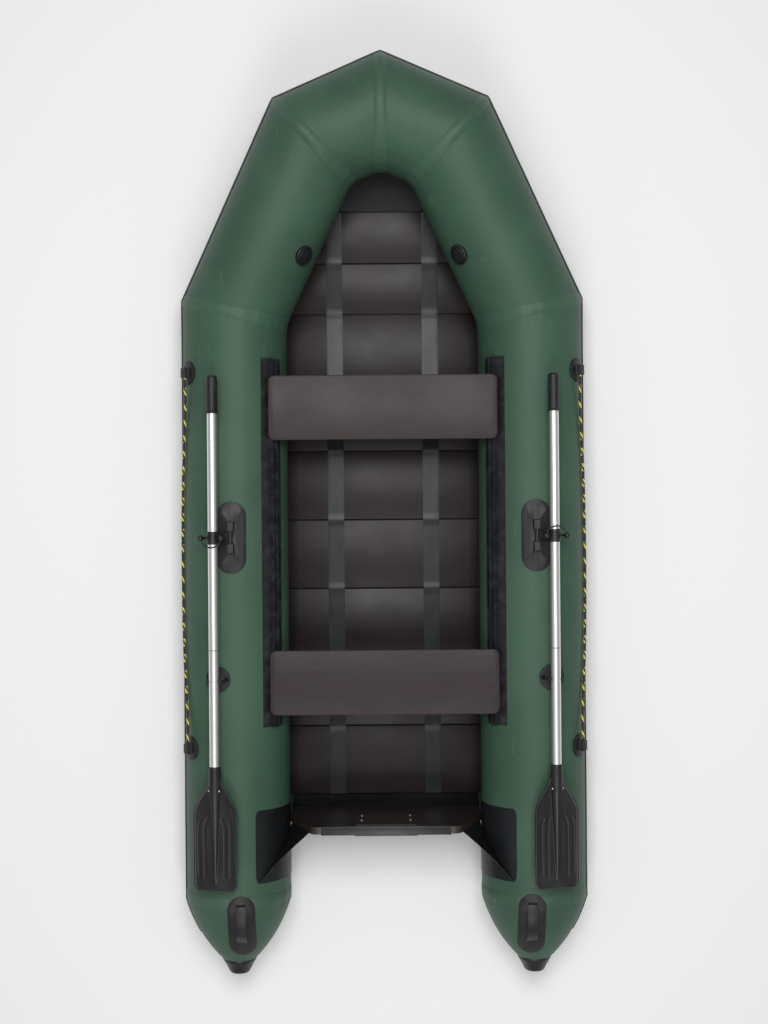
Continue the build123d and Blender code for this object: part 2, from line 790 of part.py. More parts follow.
def make_rib(start, finish):
    """A low bar on the pad from one point of X and Y to another."""
    length = math.dist(start, finish)
    turn = math.degrees(math.atan2(finish[1] - start[1], finish[0] - start[0]))
    height = pad_thickness + rib_height
    bar = Pos(length / 2, 0, height / 2) * Box(length, rib_width, height)
    drop = 5.0
    return Pos(start[0], start[1], tube_z + tube_radius - drop) * Rot(0, 0, turn) * bar


def make_axle():
    x, z = axle_place()
    length = block_gap + 2 * block_length - 12
    return Pos(x, oarlock_y, z) * Rot(90, 0, 0) * Cylinder(axle_radius, length)


def plate_levels():
    """Bottom and top of the bracket's plate, measured from the tube's axis."""
    bottom = tube_radius + pad_thickness + plate_clearance
    return bottom, bottom + plate_thickness


def make_bracket():
    """Sleeve on the axle with a plate out to the fork's pin."""
    bottom, top = plate_levels()
    axle_x, axle_z = axle_place()
    axle = oar_frame.to_local_coords(Vector(axle_x, 0, axle_z))
    length = block_gap - 2 * small_gap
    disc = Pos(0, oarlock_y, (bottom + top) / 2) * Cylinder(plate_radius, plate_thickness)
    arm = Box(abs(axle.X), 0.72 * length, plate_thickness)
    arm = Pos(axle.X / 2, oarlock_y, (bottom + top) / 2) * arm
    sleeve = Pos(axle.X, oarlock_y, axle.Z) * Rot(90, 0, 0) * Cylinder(sleeve_radius, length)
    solid = disc + arm + sleeve
    bore = Rot(90, 0, 0) * Cylinder(axle_radius + running_gap, length + 2)
    solid = solid - Pos(axle.X, oarlock_y, axle.Z) * bore
    socket = Pos(0, oarlock_y, top) * Cylinder(fork_pin_radius + running_gap, 4 * plate_thickness)
    return oar_frame.location * (solid - socket)


def make_fork(ring_side):
    """U fork with ball-ended horns, its pin, and the rubber ring that keeps the oar in."""
    bottom, top = plate_levels()
    turn = math.atan2(horn_rise, horn_spread) - math.acos(fork_radius / math.hypot(horn_spread, horn_rise))
    touch = (fork_radius * math.cos(turn), fork_radius * math.sin(turn))
    left = Line((-horn_spread, horn_rise), (-touch[0], touch[1]))
    bowl = ThreePointArc((-touch[0], touch[1]), (0, -fork_radius), touch)
    right = Line(touch, (horn_spread, horn_rise))
    path = Plane.XZ * Wire([left, bowl, right])
    section = Plane(origin=path @ 0, z_dir=path % 0) * Circle(fork_rod_radius)
    rod = sweep(section, path=path)
    for side in (-1, 1):
        rod = rod + Pos(side * horn_spread, 0, horn_rise) * Sphere(ball_radius)
    pin_top = shaft_height - fork_radius
    pin = Pos(0, 0, (bottom + pin_top) / 2 - shaft_height) * Cylinder(fork_pin_radius, pin_top - bottom)
    collar = Pos(0, 0, top + small_gap + 1 - shaft_height) * Cylinder(fork_pin_radius + 3, 2)
    fork = on_oar(rod + pin + collar, oarlock_y)
    reach = horn_spread - 2
    height = shaft_radius + ring_radius + 3
    ends = [(-reach, ring_side * (ball_radius - 2), horn_rise)]
    ends.append((reach, ring_side * (ball_radius - 2), horn_rise))
    loop = ThreePointArc(ends[0], (0, ring_side * ring_offset, height), ends[1])
    ring = sweep(Plane(origin=loop @ 0, z_dir=loop % 0) * Circle(ring_radius), path=loop)
    return group(fork, on_oar(ring, oarlock_y) - fork)


def make_oar_rest():
    """Round foot on the tube with two ball-ended prongs either side of the shaft."""
    frame = on_side_tube(rest_angle, rest_y)
    top = tube_radius + rest_thickness
    shaft = frame.to_local_coords(oar_frame.from_local_coords(Vector(0, rest_y, shaft_height)))
    disc = Pos(0, 0, tube_radius) * Cylinder(rest_radius, 4 * rest_thickness)
    hull = Rot(90, 0, 0) * Cylinder(tube_radius, 4 * rest_radius)
    sleeve = Rot(90, 0, 0) * Cylinder(top, 4 * rest_radius) - hull
    rest = disc & sleeve
    for side in (-1, 1):
        x = shaft.X + side * prong_spacing / 2
        prong_top = shaft.Z + 2
        prong = Pos(x, 0, (tube_radius + prong_top) / 2) * Cylinder(prong_radius, prong_top - tube_radius)
        root = Pos(x, 0, top + 4) * Cone(9, prong_radius, 16)
        ball = Pos(x, 0, prong_top) * Sphere(prong_ball_radius)
        rest = rest + ((prong + root + ball) - hull)
    return frame.location * rest


# ---- deck gear ----
def line_route():
    """Points of the starboard grab line, from the forward holder's eye to the after one's."""
    return [
        (698.7, 518.5, 304.7),
        (698.7, 480.0, 304.7),
        (697.7, 413.0, 293.6),
        (703.5, 308.0, 277.3),
        (711.9, 183.0, 258.9),
        (716.9, 53.0, 244.5),
        (719.7, -82.0, 234.8),
        (719.9, -217.0, 233.8),
        (718.1, -352.0, 240.7),
        (713.7, -482.0, 254.1),
        (706.6, -604.0, 271.3),
        (698.2, -706.0, 291.9),
        (698.7, -776.0, 304.7),
        (698.7, -815.5, 304.7),
    ]


def make_line():
    points = [Vector(*p) for p in line_route()]
    radii = []
    for before, here, after in zip(points, points[1:], points[2:]):
        turn = math.radians((here - before).get_angle(after - here))
        shorter = min((here - before).length, (after - here).length)
        radii.append(0.45 * shorter / math.tan(turn / 2))
    print("grab line radii", [round(r) for r in radii])
    path = FilletPolyline(*points, radius=radii)
    rope = sweep(Plane(origin=path @ 0, z_dir=path % 0) * Circle(line_radius), path=path)
    section = math.pi * line_radius**2
    print("grab line volume", round(rope.volume), "section x length", round(section * path.length))
    return rope


def eye_height():
    return tube_radius + pad_thickness + lug_height / 2


def make_line_holder(y, ahead):
    """Round foot with a lug; the line's end sits in a blind eye that opens towards the other holder."""
    frame = on_side_tube(line_holder_angle, y)
    top = tube_radius + pad_thickness
    disc = Pos(0, 0, tube_radius) * Cylinder(holder_radius, 4 * pad_thickness)
    hull = Rot(90, 0, 0) * Cylinder(tube_radius, 4 * holder_radius)
    foot = disc & (Rot(90, 0, 0) * Cylinder(top, 4 * holder_radius) - hull)
    lug = Box(lug_width, lug_length, lug_height + 2)
    lug = fillet(lug.edges().group_by(Axis.Z)[-1], 5)
    foot = foot + Pos(0, 0, top + lug_height / 2 - 1) * lug
    open_end = -ahead * lug_length / 2
    eye = Rot(90, 0, 0) * Cylinder(line_radius + small_gap, eye_depth)
    eye = Pos(0, open_end + ahead * eye_depth / 2, eye_height()) * eye
    return frame.location * (foot - eye)


def make_handle():
    """Oval foot over the stern seam and a strap bowed over it."""
    over = cone_body(handle_pad_thickness, handle_pad_length)
    over = over - cone_body(tape_thickness, handle_pad_length + 1)
    place = Pos(tube_x - handle_inboard, handle_y, tube_z)
    foot = over & place * stadium(handle_pad_length, handle_pad_width, 2 * tube_radius)
    slope = 30.0
    seat_height = 0.84 * tube_radius + handle_pad_thickness
    half = grip_strap_length / 2
    path = ThreePointArc((0, -half, -6), (0, 0, grip_strap_rise), (0, half, -6))
    section = Plane(origin=path @ 0, x_dir=(1, 0, 0), z_dir=path % 0)
    strap = sweep(section * Rectangle(grip_strap_width, grip_strap_thickness), path=path)
    strap = Pos(tube_x - handle_inboard, handle_y + 6, tube_z + seat_height) * Rot(slope, 0, 0) * strap
    strap = strap - cone_body(handle_pad_thickness / 2, handle_pad_length)
    return foot + strap


# ---- valves ----
def valve_frame():
    """Frame on the bow tube: z out of the surface, origin on the tube's axis."""
    origin = axis_points[1] + runs[1] * valve_along
    up = runs[1].cross(outward[1]) * -1
    turn = math.radians(valve_angle)
    radial = up * math.cos(turn) - outward[1] * math.sin(turn)
    return Plane(origin=origin, x_dir=runs[1], z_dir=radial)


def ring_of(outer, inner, low, high):
    """A ring about the valve's axis, between two heights above the tube's surface."""
    middle = tube_radius + (low + high) / 2
    ring = Cylinder(outer, high - low)
    if inner:
        ring = ring - Cylinder(inner, high - low)
    return Pos(0, 0, middle) * ring


def make_valve_body():
    flange = ring_of(valve_flange_radius, valve_barrel_radius - 1, -10, valve_rim)
    flange = fillet(flange.edges().filter_by(GeomType.CIRCLE).group_by(Axis.Z)[-1].sort_by(SortBy.LENGTH)[-1], 4)
    flange = flange - Rot(0, 90, 0) * Cylinder(tube_radius, 4 * valve_flange_radius)
    barrel = ring_of(valve_barrel_radius, valve_bore_radius, -valve_depth, valve_rim - valve_recess)
    recess = ring_of(valve_cap_radius + small_gap, 0, valve_rim - valve_recess, valve_rim + 1)
    web = ring_of(valve_barrel_radius, stem_radius + running_gap, -valve_depth, valve_web - valve_depth)
    for turn in range(0, 360, 60):
        web = web - Rot(0, 0, turn) * Pos(10.5, 0, 0) * ring_of(3, 0, -valve_depth - 1, 1 + valve_web - valve_depth)
    return flange + barrel + web - recess


def make_valve_cap():
    bottom = valve_rim - valve_recess + small_gap
    disc = ring_of(valve_cap_radius, 0, bottom, valve_rim + 2)
    top_edges = disc.edges().filter_by(GeomType.CIRCLE).group_by(Axis.Z)[-1]
    disc = fillet(top_edges, 2)
    plug = ring_of(valve_plug_radius, 0, -5, bottom)
    bar = Pos(0, 0, tube_radius + valve_rim + 4) * Box(2 * valve_cap_radius - 12, 7, 6)
    return disc + plug + bar


def stem_levels():
    """Under the web, top of the web and underside of the stem's button."""
    web_low = -valve_depth
    return web_low, web_low + valve_web, -valve_depth + valve_web + 12.0


def make_stem():
    web_low, web_high, button_low = stem_levels()
    head = ring_of(stem_head_radius, 0, web_low - small_gap - 4, web_low - small_gap)
    rod = ring_of(stem_radius, 0, web_low - 2, button_low + 1)
    button = ring_of(stem_button_radius, 0, button_low, button_low + 3)
    return head + rod + button


def make_spring():
    web_low, web_high, button_low = stem_levels()
    height = button_low - web_high - 2 * spring_wire - 0.2
    path = Helix(pitch=height / 3.5, height=height, radius=spring_radius)
    wire = sweep(Plane(origin=path @ 0, z_dir=path % 0) * Circle(spring_wire), path=path)
    return Pos(0, 0, tube_radius + web_high + spring_wire + 0.1) * wire


def make_all():
    tubes = make_tubes()
    valve = valve_frame()
    hole = valve.location * ring_of(valve_barrel_radius + small_gap, 0, -30, 20)
    add_pair("side_tube", tubes[0])
    add_pair("bow_tube", tubes[1] - hole)
    add_pair("nose_tube", tubes[2])
    add_pair("stern_cone", make_cone())
    cap = make_cone_cap()
    parts["cone_caps"] = group(cap, port(cap))
    parts["bow_bulkhead"] = make_bulkhead()
    parts["bottom_sheet"] = make_bottom_sheet()
    parts["rub_strake"] = make_strake()
    parts["seam_tapes"] = make_tapes()

    for index in range(flat_board_count):
        parts["floor_board_%d" % (index + 1)] = make_flat_board(index)
    for index in range(bow_board_count):
        parts["floor_board_%d" % (flat_board_count + index + 1)] = make_bow_board(index)
    parts["floor_straps"] = make_straps()

    parts["transom_board"] = make_transom()
    parts["transom_trim"] = make_trim()
    parts["motor_plates"] = make_motor_plates()
    parts["transom_bolts"] = make_bolts()
    parts["transom_sill"] = make_sill()
    holder = make_transom_holder()
    parts["transom_holders"] = group(holder, port(holder))

    rail = make_rail()
    parts["seat_rails"] = group(rail, port(rail))
    for name, y in (("front", front_seat_y), ("rear", rear_seat_y)):
        parts["seat_" + name] = make_seat(y)
        parts["seat_%s_runners" % name] = make_runners(y)

    add_pair("oarlock_pad", make_pad())
    axle = make_axle()
    parts["oarlock_axles"] = group(axle, port(axle))
    add_pair("oarlock_bracket", make_bracket())
    parts["oarlock_fork_right"] = make_fork(1)
    parts["oarlock_fork_left"] = port(make_fork(-1))
    add_pair("oar_shaft", make_shaft())
    add_pair("oar_grip", make_grip())
    add_pair("oar_collar", make_oar_collar())
    add_pair("oar_blade", make_blade())
    rest = make_oar_rest()
    parts["oar_rests"] = group(rest, port(rest))

    front_holder = make_line_holder(front_holder_y, 1)
    rear_holder = make_line_holder(rear_holder_y, -1)
    parts["line_holders"] = group(front_holder, port(front_holder), rear_holder, port(rear_holder))
    add_pair("grab_line", make_line())
    handle = make_handle()
    parts["carry_handles"] = group(handle, port(handle))

    body = valve.location * make_valve_body()
    parts["valve_bodies"] = group(body, port(body))
    add_pair("valve_cap", valve.location * make_valve_cap())
    add_pair("valve_stem", valve.location * make_stem())
    spring = valve.location * make_spring()
    parts["valve_springs"] = group(spring, port(spring))


make_all()
os.makedirs("parts", exist_ok=True)
for name, shape in parts.items():
    export_step(shape, "parts/%s.step" % name)
print(len(parts), "nodes; knee y", round(knee_y, 2), "fold y", round(fold_y, 2))
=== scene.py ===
import json
import math

import bmesh
import bpy
from mathutils import Matrix, Vector, noise


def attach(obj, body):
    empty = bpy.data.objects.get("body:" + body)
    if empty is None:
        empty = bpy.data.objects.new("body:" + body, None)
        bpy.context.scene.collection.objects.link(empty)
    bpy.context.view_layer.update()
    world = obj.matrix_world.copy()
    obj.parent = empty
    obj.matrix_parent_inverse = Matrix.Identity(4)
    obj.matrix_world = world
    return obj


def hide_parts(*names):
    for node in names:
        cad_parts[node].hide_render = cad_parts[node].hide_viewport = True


# Inflatable motor dinghy with a slatted floor.  Metres, +Z up, bow towards +Y.
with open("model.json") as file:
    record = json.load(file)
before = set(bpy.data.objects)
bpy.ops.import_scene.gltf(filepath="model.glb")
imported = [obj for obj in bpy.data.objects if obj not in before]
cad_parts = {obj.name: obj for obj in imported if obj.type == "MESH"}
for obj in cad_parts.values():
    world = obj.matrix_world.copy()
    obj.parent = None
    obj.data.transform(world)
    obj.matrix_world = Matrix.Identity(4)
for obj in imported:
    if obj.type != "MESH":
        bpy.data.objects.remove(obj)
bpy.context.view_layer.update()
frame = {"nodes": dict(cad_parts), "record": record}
nodes = frame["nodes"]
bodies = frame["record"]["behaviour"]["bodies"]
body_of_node = {node: body for body, members in bodies.items() for node in members}

# ---- sizes shared with the frame ----
TUBE_X = 0.532
TUBE_Z = 0.188
TUBE_RADIUS = 0.187
SHEET = 0.001
GLUED_EDGE = 0.025          # bottom fabric beyond a tube's lowest line
AROUND = 112                # points round a tube
STRAKE_TURN = 187.0         # millimetres round the tube to a radian
FLOOR_TOP = 0.013
BOW_ANGLE = math.radians(25.9)
NOSE_ANGLE = math.radians(22.6)
BOW_RISE = math.radians(11.0)
BOW_TUBE = 0.668
KNEE_Y = 0.739842
FOLD_Y = 0.757944
CONE_FRONT = -1.3680
CONE_LENGTH = 0.219
CONE_END = 0.058
CONE_BULGE = 0.016
CAP_LENGTH = 0.050
FLOOR_BACK = -1.034056
BOARD_PITCH = 0.256
BOW_PITCH = 0.188
STRAP_X = 0.1775            # middle of a hinge strap
STRAP_WIDTH = 0.060
SILL_RISE = 0.076
SILL_WIDTH = 0.690
TRANSOM_FRONT = -1.0720
TRANSOM_BACK = -1.0970
OAR_ANGLE = 13.3
BLADE_HALF = 0.080
BLADE_CORNER = 0.026
BLADE_PLATE = 0.399         # length of the flat plate, without the socket
SOCKET_RADIUS = 0.0215
SHAFT_HEIGHT = TUBE_RADIUS + 0.0606
OAR_BACK = -1.2830
OAR_FRONT = 0.4920
SHAFT_JOINT = -0.4540


# ---- shader maths ----
def connect(tree, slot, item):
    """Puts a number, a colour or a link into a socket."""
    if isinstance(item, Value):
        tree.links.new(item.socket, slot)
    elif hasattr(item, "__len__") and slot.type == "RGBA" and len(item) == 3:
        slot.default_value = (*item, 1.0)
    else:
        slot.default_value = item


class Value:
    """A shader socket that does arithmetic."""

    def __init__(self, tree, socket):
        self.tree = tree
        self.socket = socket

    def _maths(self, operation, *items):
        node = self.tree.nodes.new("ShaderNodeMath")
        node.operation = operation
        for slot, item in zip(node.inputs, items):
            connect(self.tree, slot, item)
        return Value(self.tree, node.outputs[0])

    def __add__(self, other):
        return self._maths("ADD", self, other)

    def __radd__(self, other):
        return self._maths("ADD", other, self)

    def __sub__(self, other):
        return self._maths("SUBTRACT", self, other)

    def __rsub__(self, other):
        return self._maths("SUBTRACT", other, self)

    def __mul__(self, other):
        return self._maths("MULTIPLY", self, other)

    def __rmul__(self, other):
        return self._maths("MULTIPLY", other, self)

    def __truediv__(self, other):
        return self._maths("DIVIDE", self, other)

    def __gt__(self, other):
        return self._maths("GREATER_THAN", self, other)

    def __lt__(self, other):
        return self._maths("LESS_THAN", self, other)

    def __abs__(self):
        return self._maths("ABSOLUTE", self)

    def fraction(self):
        return self._maths("FRACT", self)

    def wave(self):
        return self._maths("SINE", self)


class Finish:
    """A material and the nodes that make it."""

    def __init__(self, name, roughness, metallic=0.0, coat=0.0, specular=0.5, sheen=0.0):
        self.material = bpy.data.materials.new(name)
        self.material.use_nodes = True
        self.tree = self.material.node_tree
        self.shader = self.tree.nodes["Principled BSDF"]
        self.shader.inputs["Roughness"].default_value = roughness
        self.shader.inputs["Metallic"].default_value = metallic
        self.shader.inputs["Coat Weight"].default_value = coat
        self.shader.inputs["Coat Roughness"].default_value = 0.2
        self.shader.inputs["Specular IOR Level"].default_value = specular
        self.shader.inputs["Sheen Weight"].default_value = sheen

    def node(self, kind, settings, values, output=0):
        """Any node: its settings first, then the values or links of its sockets."""
        made = self.tree.nodes.new(kind)
        for key, setting in settings.items():
            setattr(made, key, setting)
        for key, item in values.items():
            connect(self.tree, made.inputs[key], item)
        return Value(self.tree, made.outputs[output])

    def place(self, stretch=(1.0, 1.0, 1.0)):
        """Object coordinates, which are the boat's own frame, stretched along each axis."""
        where = self.node("ShaderNodeTexCoord", {}, {}, "Object")
        return self.node("ShaderNodeMapping", {}, {"Vector": where, "Scale": stretch})

    def noise(self, place, scale, detail=3.0):
        return self.node("ShaderNodeTexNoise", {}, {"Vector": place, "Scale": scale, "Detail": detail}, 0)

    def axis(self, place, name):
        return self.node("ShaderNodeSeparateXYZ", {}, {"Vector": place}, name)

    def facing(self, name):
        where = self.node("ShaderNodeNewGeometry", {}, {}, "Normal")
        return self.axis(where, name)

    def attribute(self, name):
        return self.node("ShaderNodeAttribute", {"attribute_name": name}, {}, "Fac")

    def ramp(self, factor, low, high):
        """0 below low and 1 above high, smooth between."""
        values = {"Value": factor, "From Min": low, "From Max": high}
        return self.node("ShaderNodeMapRange", {"interpolation_type": "SMOOTHSTEP"}, values)

    def mix(self, factor, first, second):
        return self.node("ShaderNodeMix", {"data_type": "RGBA"}, {0: factor, 6: first, 7: second}, 2)

    def colour(self, item):
        connect(self.tree, self.shader.inputs["Base Color"], item)

    def roughness(self, item):
        connect(self.tree, self.shader.inputs["Roughness"], item)

    def bump(self, height, strength, distance):
        values = {"Height": height, "Strength": strength, "Distance": distance}
        connect(self.tree, self.shader.inputs["Normal"], self.node("ShaderNodeBump", {}, values))


# ---- finishes ----
def woven(finish, threads):
    """Height of a plain weave under a coating, with threads to the metre."""
    place = finish.place()
    step = 2 * math.pi * threads
    along = (finish.axis(place, "Y") * step).wave()
    across = ((finish.axis(place, "X") + finish.axis(place, "Z")) * step).wave()
    return along * across * 0.5 + 0.5


def coated_fabric(name, dark, light, roughness, weave=0.25, coat=0.0, creases=0.0):
    finish = Finish(name, roughness, coat=coat, specular=0.30)
    place = finish.place()
    clouds = finish.noise(place, 3.5, 5.0)
    scuffs = finish.ramp(finish.noise(finish.place((1.0, 0.25, 1.0)), 38.0, 6.0), 0.62, 0.75)
    tone = finish.mix(finish.ramp(clouds, 0.35, 0.65), dark, light)
    pale = [min(1.0, 1.5 * c + 0.01) for c in light]
    finish.colour(finish.mix(scuffs * 0.25, tone, pale))
    finish.roughness(roughness + (clouds - 0.5) * 0.18 + scuffs * 0.08)
    height = woven(finish, 900.0) * weave + finish.noise(place, 240.0) * 0.3
    if creases:
        height = height + finish.noise(finish.place((1.0, 0.5, 1.0)), 16.0, 4.0) * creases
    finish.bump(height, 0.5, 0.0006)
    return finish.material


def textured_sheet(name):
    """Coated fabric with an embossed diamond grain."""
    finish = Finish(name, 0.5)
    place = finish.place()
    step = 2 * math.pi * 160.0
    slant = ((finish.axis(place, "X") + finish.axis(place, "Y")) * step).wave()
    other = ((finish.axis(place, "X") - finish.axis(place, "Y")) * step).wave()
    grain = slant * other
    dust = finish.noise(place, 7.0, 6.0)
    finish.colour(finish.mix(finish.ramp(dust, 0.3, 0.8), (0.007, 0.008, 0.009), (0.018, 0.020, 0.022)))
    finish.roughness(0.42 + dust * 0.25)
    finish.bump(grain + dust * 0.6, 0.6, 0.0008)
    return finish.material


def film_ply(name, face, streak, edge, roughness, coat):
    """Film faced plywood: a dark sealed face and paler cut edges that show the plies."""
    finish = Finish(name, roughness, coat=coat, specular=0.26)
    grain = finish.noise(finish.place((0.9, 9.0, 9.0)), 9.0, 8.0)
    wear = finish.noise(finish.place(), 5.0, 6.0)
    mesh = finish.noise(finish.place(), 700.0, 2.0)
    tone = finish.mix(finish.ramp(grain, 0.35, 0.7), face, streak)
    tone = finish.mix(finish.ramp(wear, 0.55, 0.85) * 0.35, tone, streak)
    plies = (finish.axis(finish.place(), "Z") * (2 * math.pi / 0.0024)).wave() * 0.5 + 0.5
    side = finish.mix(plies * 0.6 + grain * 0.3, edge, [0.45 * c for c in edge])
    upright = finish.ramp(abs(finish.facing("Z")), 0.72, 0.95)
    finish.colour(finish.mix(upright, side, tone))
    finish.roughness(roughness + (wear - 0.5) * 0.25 + (1 - upright) * 0.25)
    finish.bump(grain * 0.4 + mesh * 0.35, 0.35, 0.0005)
    return finish.material


def upright_ply(name, face, streak, edge):
    """The same board standing on edge, so that its faces look fore and aft."""
    finish = Finish(name, 0.42, coat=0.15)
    grain = finish.noise(finish.place((0.9, 9.0, 9.0)), 9.0, 8.0)
    plies = (finish.axis(finish.place(), "Y") * (2 * math.pi / 0.0028)).wave() * 0.5 + 0.5
    side = finish.mix(plies * 0.6, edge, [0.5 * c for c in edge])
    flat = finish.ramp(abs(finish.facing("Y")), 0.72, 0.95)
    finish.colour(finish.mix(flat, side, finish.mix(finish.ramp(grain, 0.35, 0.7), face, streak)))
    finish.roughness(0.36 + grain * 0.22)
    finish.bump(grain, 0.3, 0.0005)
    return finish.material


def moulded(name, dark, light, roughness, grain=420.0, strength=0.35):
    """Moulded plastic or rubber with a fine spark grain and handling marks."""
    finish = Finish(name, roughness)
    place = finish.place()
    marks = finish.noise(place, 26.0, 6.0)
    pits = finish.noise(place, grain, 3.0)
    finish.colour(finish.mix(finish.ramp(marks, 0.4, 0.75), dark, light))
    finish.roughness(roughness + (marks - 0.5) * 0.3)
    finish.bump(pits + marks * 0.3, strength, 0.0004)
    return finish.material


def drawn_metal(name, dark, light, roughness):
    """Tube or bolt metal, with fine lines along the boat."""
    finish = Finish(name, roughness, metallic=1.0)
    lines = finish.noise(finish.place((60.0, 1.2, 60.0)), 26.0, 3.0)
    spots = finish.noise(finish.place(), 12.0, 5.0)
    finish.colour(finish.mix(finish.ramp(lines * 0.6 + spots * 0.4, 0.3, 0.7), dark, light))
    finish.roughness(roughness + (lines - 0.5) * 0.16)
    finish.bump(lines, 0.12, 0.0002)
    return finish.material


def anodised_tube(name):
    """Brushed aluminium tube with fine lines along it."""
    finish = Finish(name, 0.40, metallic=1.0)
    lines = finish.noise(finish.place((60.0, 1.0, 60.0)), 26.0, 3.0)
    finish.colour(finish.mix(lines, (0.84, 0.84, 0.84), (0.94, 0.94, 0.93)))
    finish.roughness(0.36 + lines * 0.10)
    finish.bump(lines, 0.1, 0.0002)
    return finish.material


def blade_plastic(name):
    """Satin black plastic, with painted shade inside its moulded grooves."""
    finish = Finish(name, 0.42)
    place = finish.place()
    marks = finish.noise(finish.place((1.0, 0.3, 1.0)), 30.0, 6.0)
    tone = finish.mix(finish.ramp(marks, 0.35, 0.8), (0.009, 0.009, 0.010), (0.018, 0.018, 0.020))
    hollow = finish.attribute("groove")
    # painted shade: inside the grooves the colour goes nearly black; the groove mask also raises roughness
    # there
    finish.colour(finish.mix(hollow, tone, (0.004, 0.004, 0.005)))
    finish.roughness(0.4 + (marks - 0.5) * 0.25 + hollow * 0.3)
    finish.bump(finish.noise(place, 500.0) + marks * 0.5, 0.3, 0.0004)
    return finish.material


def braided_rope(name):
    """Black braid; U runs round the rope and V along it, in metres."""
    finish = Finish(name, 0.72, sheen=0.3)
    where = finish.node("ShaderNodeTexCoord", {}, {}, "UV")
    around = finish.axis(where, "X")
    along = finish.axis(where, "Y")
    right = (along * 75.0 + around * 4.0).fraction()
    left = (along * 75.0 - around * 4.0).fraction()
    strands = abs(right - 0.5) + abs(left - 0.5)
    group = (along / 0.056).fraction() < 0.5
    pick = (along * 37.5 + around * 2.0).fraction() < 0.55
    fleck = group * pick * (strands < 0.66)
    fuzz = finish.noise(where, 900.0)
    black = finish.mix(fuzz, (0.006, 0.006, 0.006), (0.022, 0.022, 0.020))
    finish.colour(finish.mix(fleck, black, (0.80, 0.70, 0.05)))
    finish.bump(1 - strands + fuzz * 0.2, 0.8, 0.0010)
    return finish.material


GREEN = coated_fabric("green_tube_fabric", (0.040, 0.090, 0.057), (0.049, 0.106, 0.068), 0.50)
GREEN_TAPE = coated_fabric("green_seam_tape", (0.046, 0.099, 0.064), (0.056, 0.116, 0.076), 0.46)
BLACK_SHEET = textured_sheet("black_bottom_sheet")
BLACK_STRAP = coated_fabric("black_hinge_strap", (0.005, 0.006, 0.007), (0.010, 0.011, 0.013),
                            0.36, 0.1, 0.0, 1.2)
BLACK_PATCH = coated_fabric("black_patch_fabric", (0.007, 0.008, 0.009), (0.013, 0.014, 0.016),
                            0.40, 0.2, 0.05, 1.0)
FLOOR_PLY = film_ply("floor_ply", (0.014, 0.009, 0.010), (0.018, 0.012, 0.013), (0.060, 0.036, 0.026),
                     0.40, 0.0)
SEAT_PLY = film_ply("seat_ply", (0.030, 0.020, 0.022), (0.034, 0.024, 0.026), (0.110, 0.075, 0.058),
                    0.44, 0.0)
TRANSOM_PLY = upright_ply("transom_ply", (0.012, 0.008, 0.008), (0.018, 0.012, 0.012), (0.030, 0.019, 0.014))
PLATE_PLY = upright_ply("motor_plate_ply", (0.016, 0.011, 0.009), (0.026, 0.018, 0.014),
                        (0.050, 0.032, 0.023))
PLASTIC = moulded("black_plastic", (0.008, 0.008, 0.009), (0.017, 0.017, 0.019), 0.40)
RAIL_PLASTIC = moulded("rail_plastic", (0.010, 0.010, 0.012), (0.026, 0.027, 0.031), 0.45, 300.0, 0.2)
RUBBER = moulded("black_rubber", (0.007, 0.007, 0.008), (0.016, 0.016, 0.018), 0.52, 260.0, 0.5)
GREY_PLASTIC = moulded("valve_stem_plastic", (0.07, 0.07, 0.07), (0.12, 0.12, 0.12), 0.4)
BLADE = blade_plastic("oar_blade_plastic")
ALUMINIUM = anodised_tube("oar_aluminium")
STEEL = drawn_metal("fitting_steel", (0.42, 0.42, 0.44), (0.62, 0.62, 0.64), 0.3)
ROPE = braided_rope("grab_line_braid")


# ---- making pieces ----
def new_object(name, mesh):
    made = bpy.data.objects.new(name, mesh)
    bpy.context.scene.collection.objects.link(made)
    return made


def mesh_of(name, vertices, faces):
    mesh = bpy.data.meshes.new(name)
    mesh.from_pydata([tuple(v) for v in vertices], [], faces)
    return mesh


def settled(made, *modifiers):
    """Applies modifiers, each a kind and its settings, and leaves a plain mesh."""
    for kind, settings in modifiers:
        modifier = made.modifiers.new(kind.lower(), kind)
        for key, setting in settings.items():
            setattr(modifier, key, setting)
    graph = bpy.context.evaluated_depsgraph_get()
    mesh = bpy.data.meshes.new_from_object(made.evaluated_get(graph))
    made.modifiers.clear()
    old = made.data
    made.data = mesh
    bpy.data.meshes.remove(old)
    return made


def tidy_mesh(made, merge=0.00001):
    """Merges doubles and turns every face outwards."""
    shape = bmesh.new()
    shape.from_mesh(made.data)
    bmesh.ops.remove_doubles(shape, verts=shape.verts, dist=merge)
    bmesh.ops.recalc_face_normals(shape, faces=shape.faces)
    shape.to_mesh(made.data)
    shape.free()


def finish_piece(made, material, stands_for, body=None, sharp=40.0):
    """Smooth shading, material, body and the frame nodes that the piece stands for."""
    made.data.materials.clear()
    made.data.materials.append(material)
    made.data.polygons.foreach_set("material_index", [0] * len(made.data.polygons))
    made.data.shade_smooth()
    made.data.set_sharp_from_angle(angle=math.radians(sharp))
    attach(made, body or body_of_node[stands_for[0]])
    if stands_for:
        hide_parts(*stands_for)
    return made


def grid_faces(rows, columns, wrap=False):
    """Quads between the points of a grid that is stored row by row."""
    faces = []
    for row in range(rows - 1):
        for column in range(columns if wrap else columns - 1):
            after = (column + 1) % columns
            near = row * columns
            far = near + columns
            faces.append((near + column, near + after, far + after, far + column))
    return faces


def closed_tube(rings):
    """Vertices and faces of a tube through rings of points, with its two ends closed."""
    around = len(rings[0])
    vertices = [point for ring in rings for point in ring]
    faces = grid_faces(len(rings), around, True)
    faces.append(tuple(reversed(range(around))))
    last = (len(rings) - 1) * around
    faces.append(tuple(range(last, last + around)))
    return vertices, faces


def mirrored(points):
    return [Vector((-p.x, p.y, p.z)) for p in points]


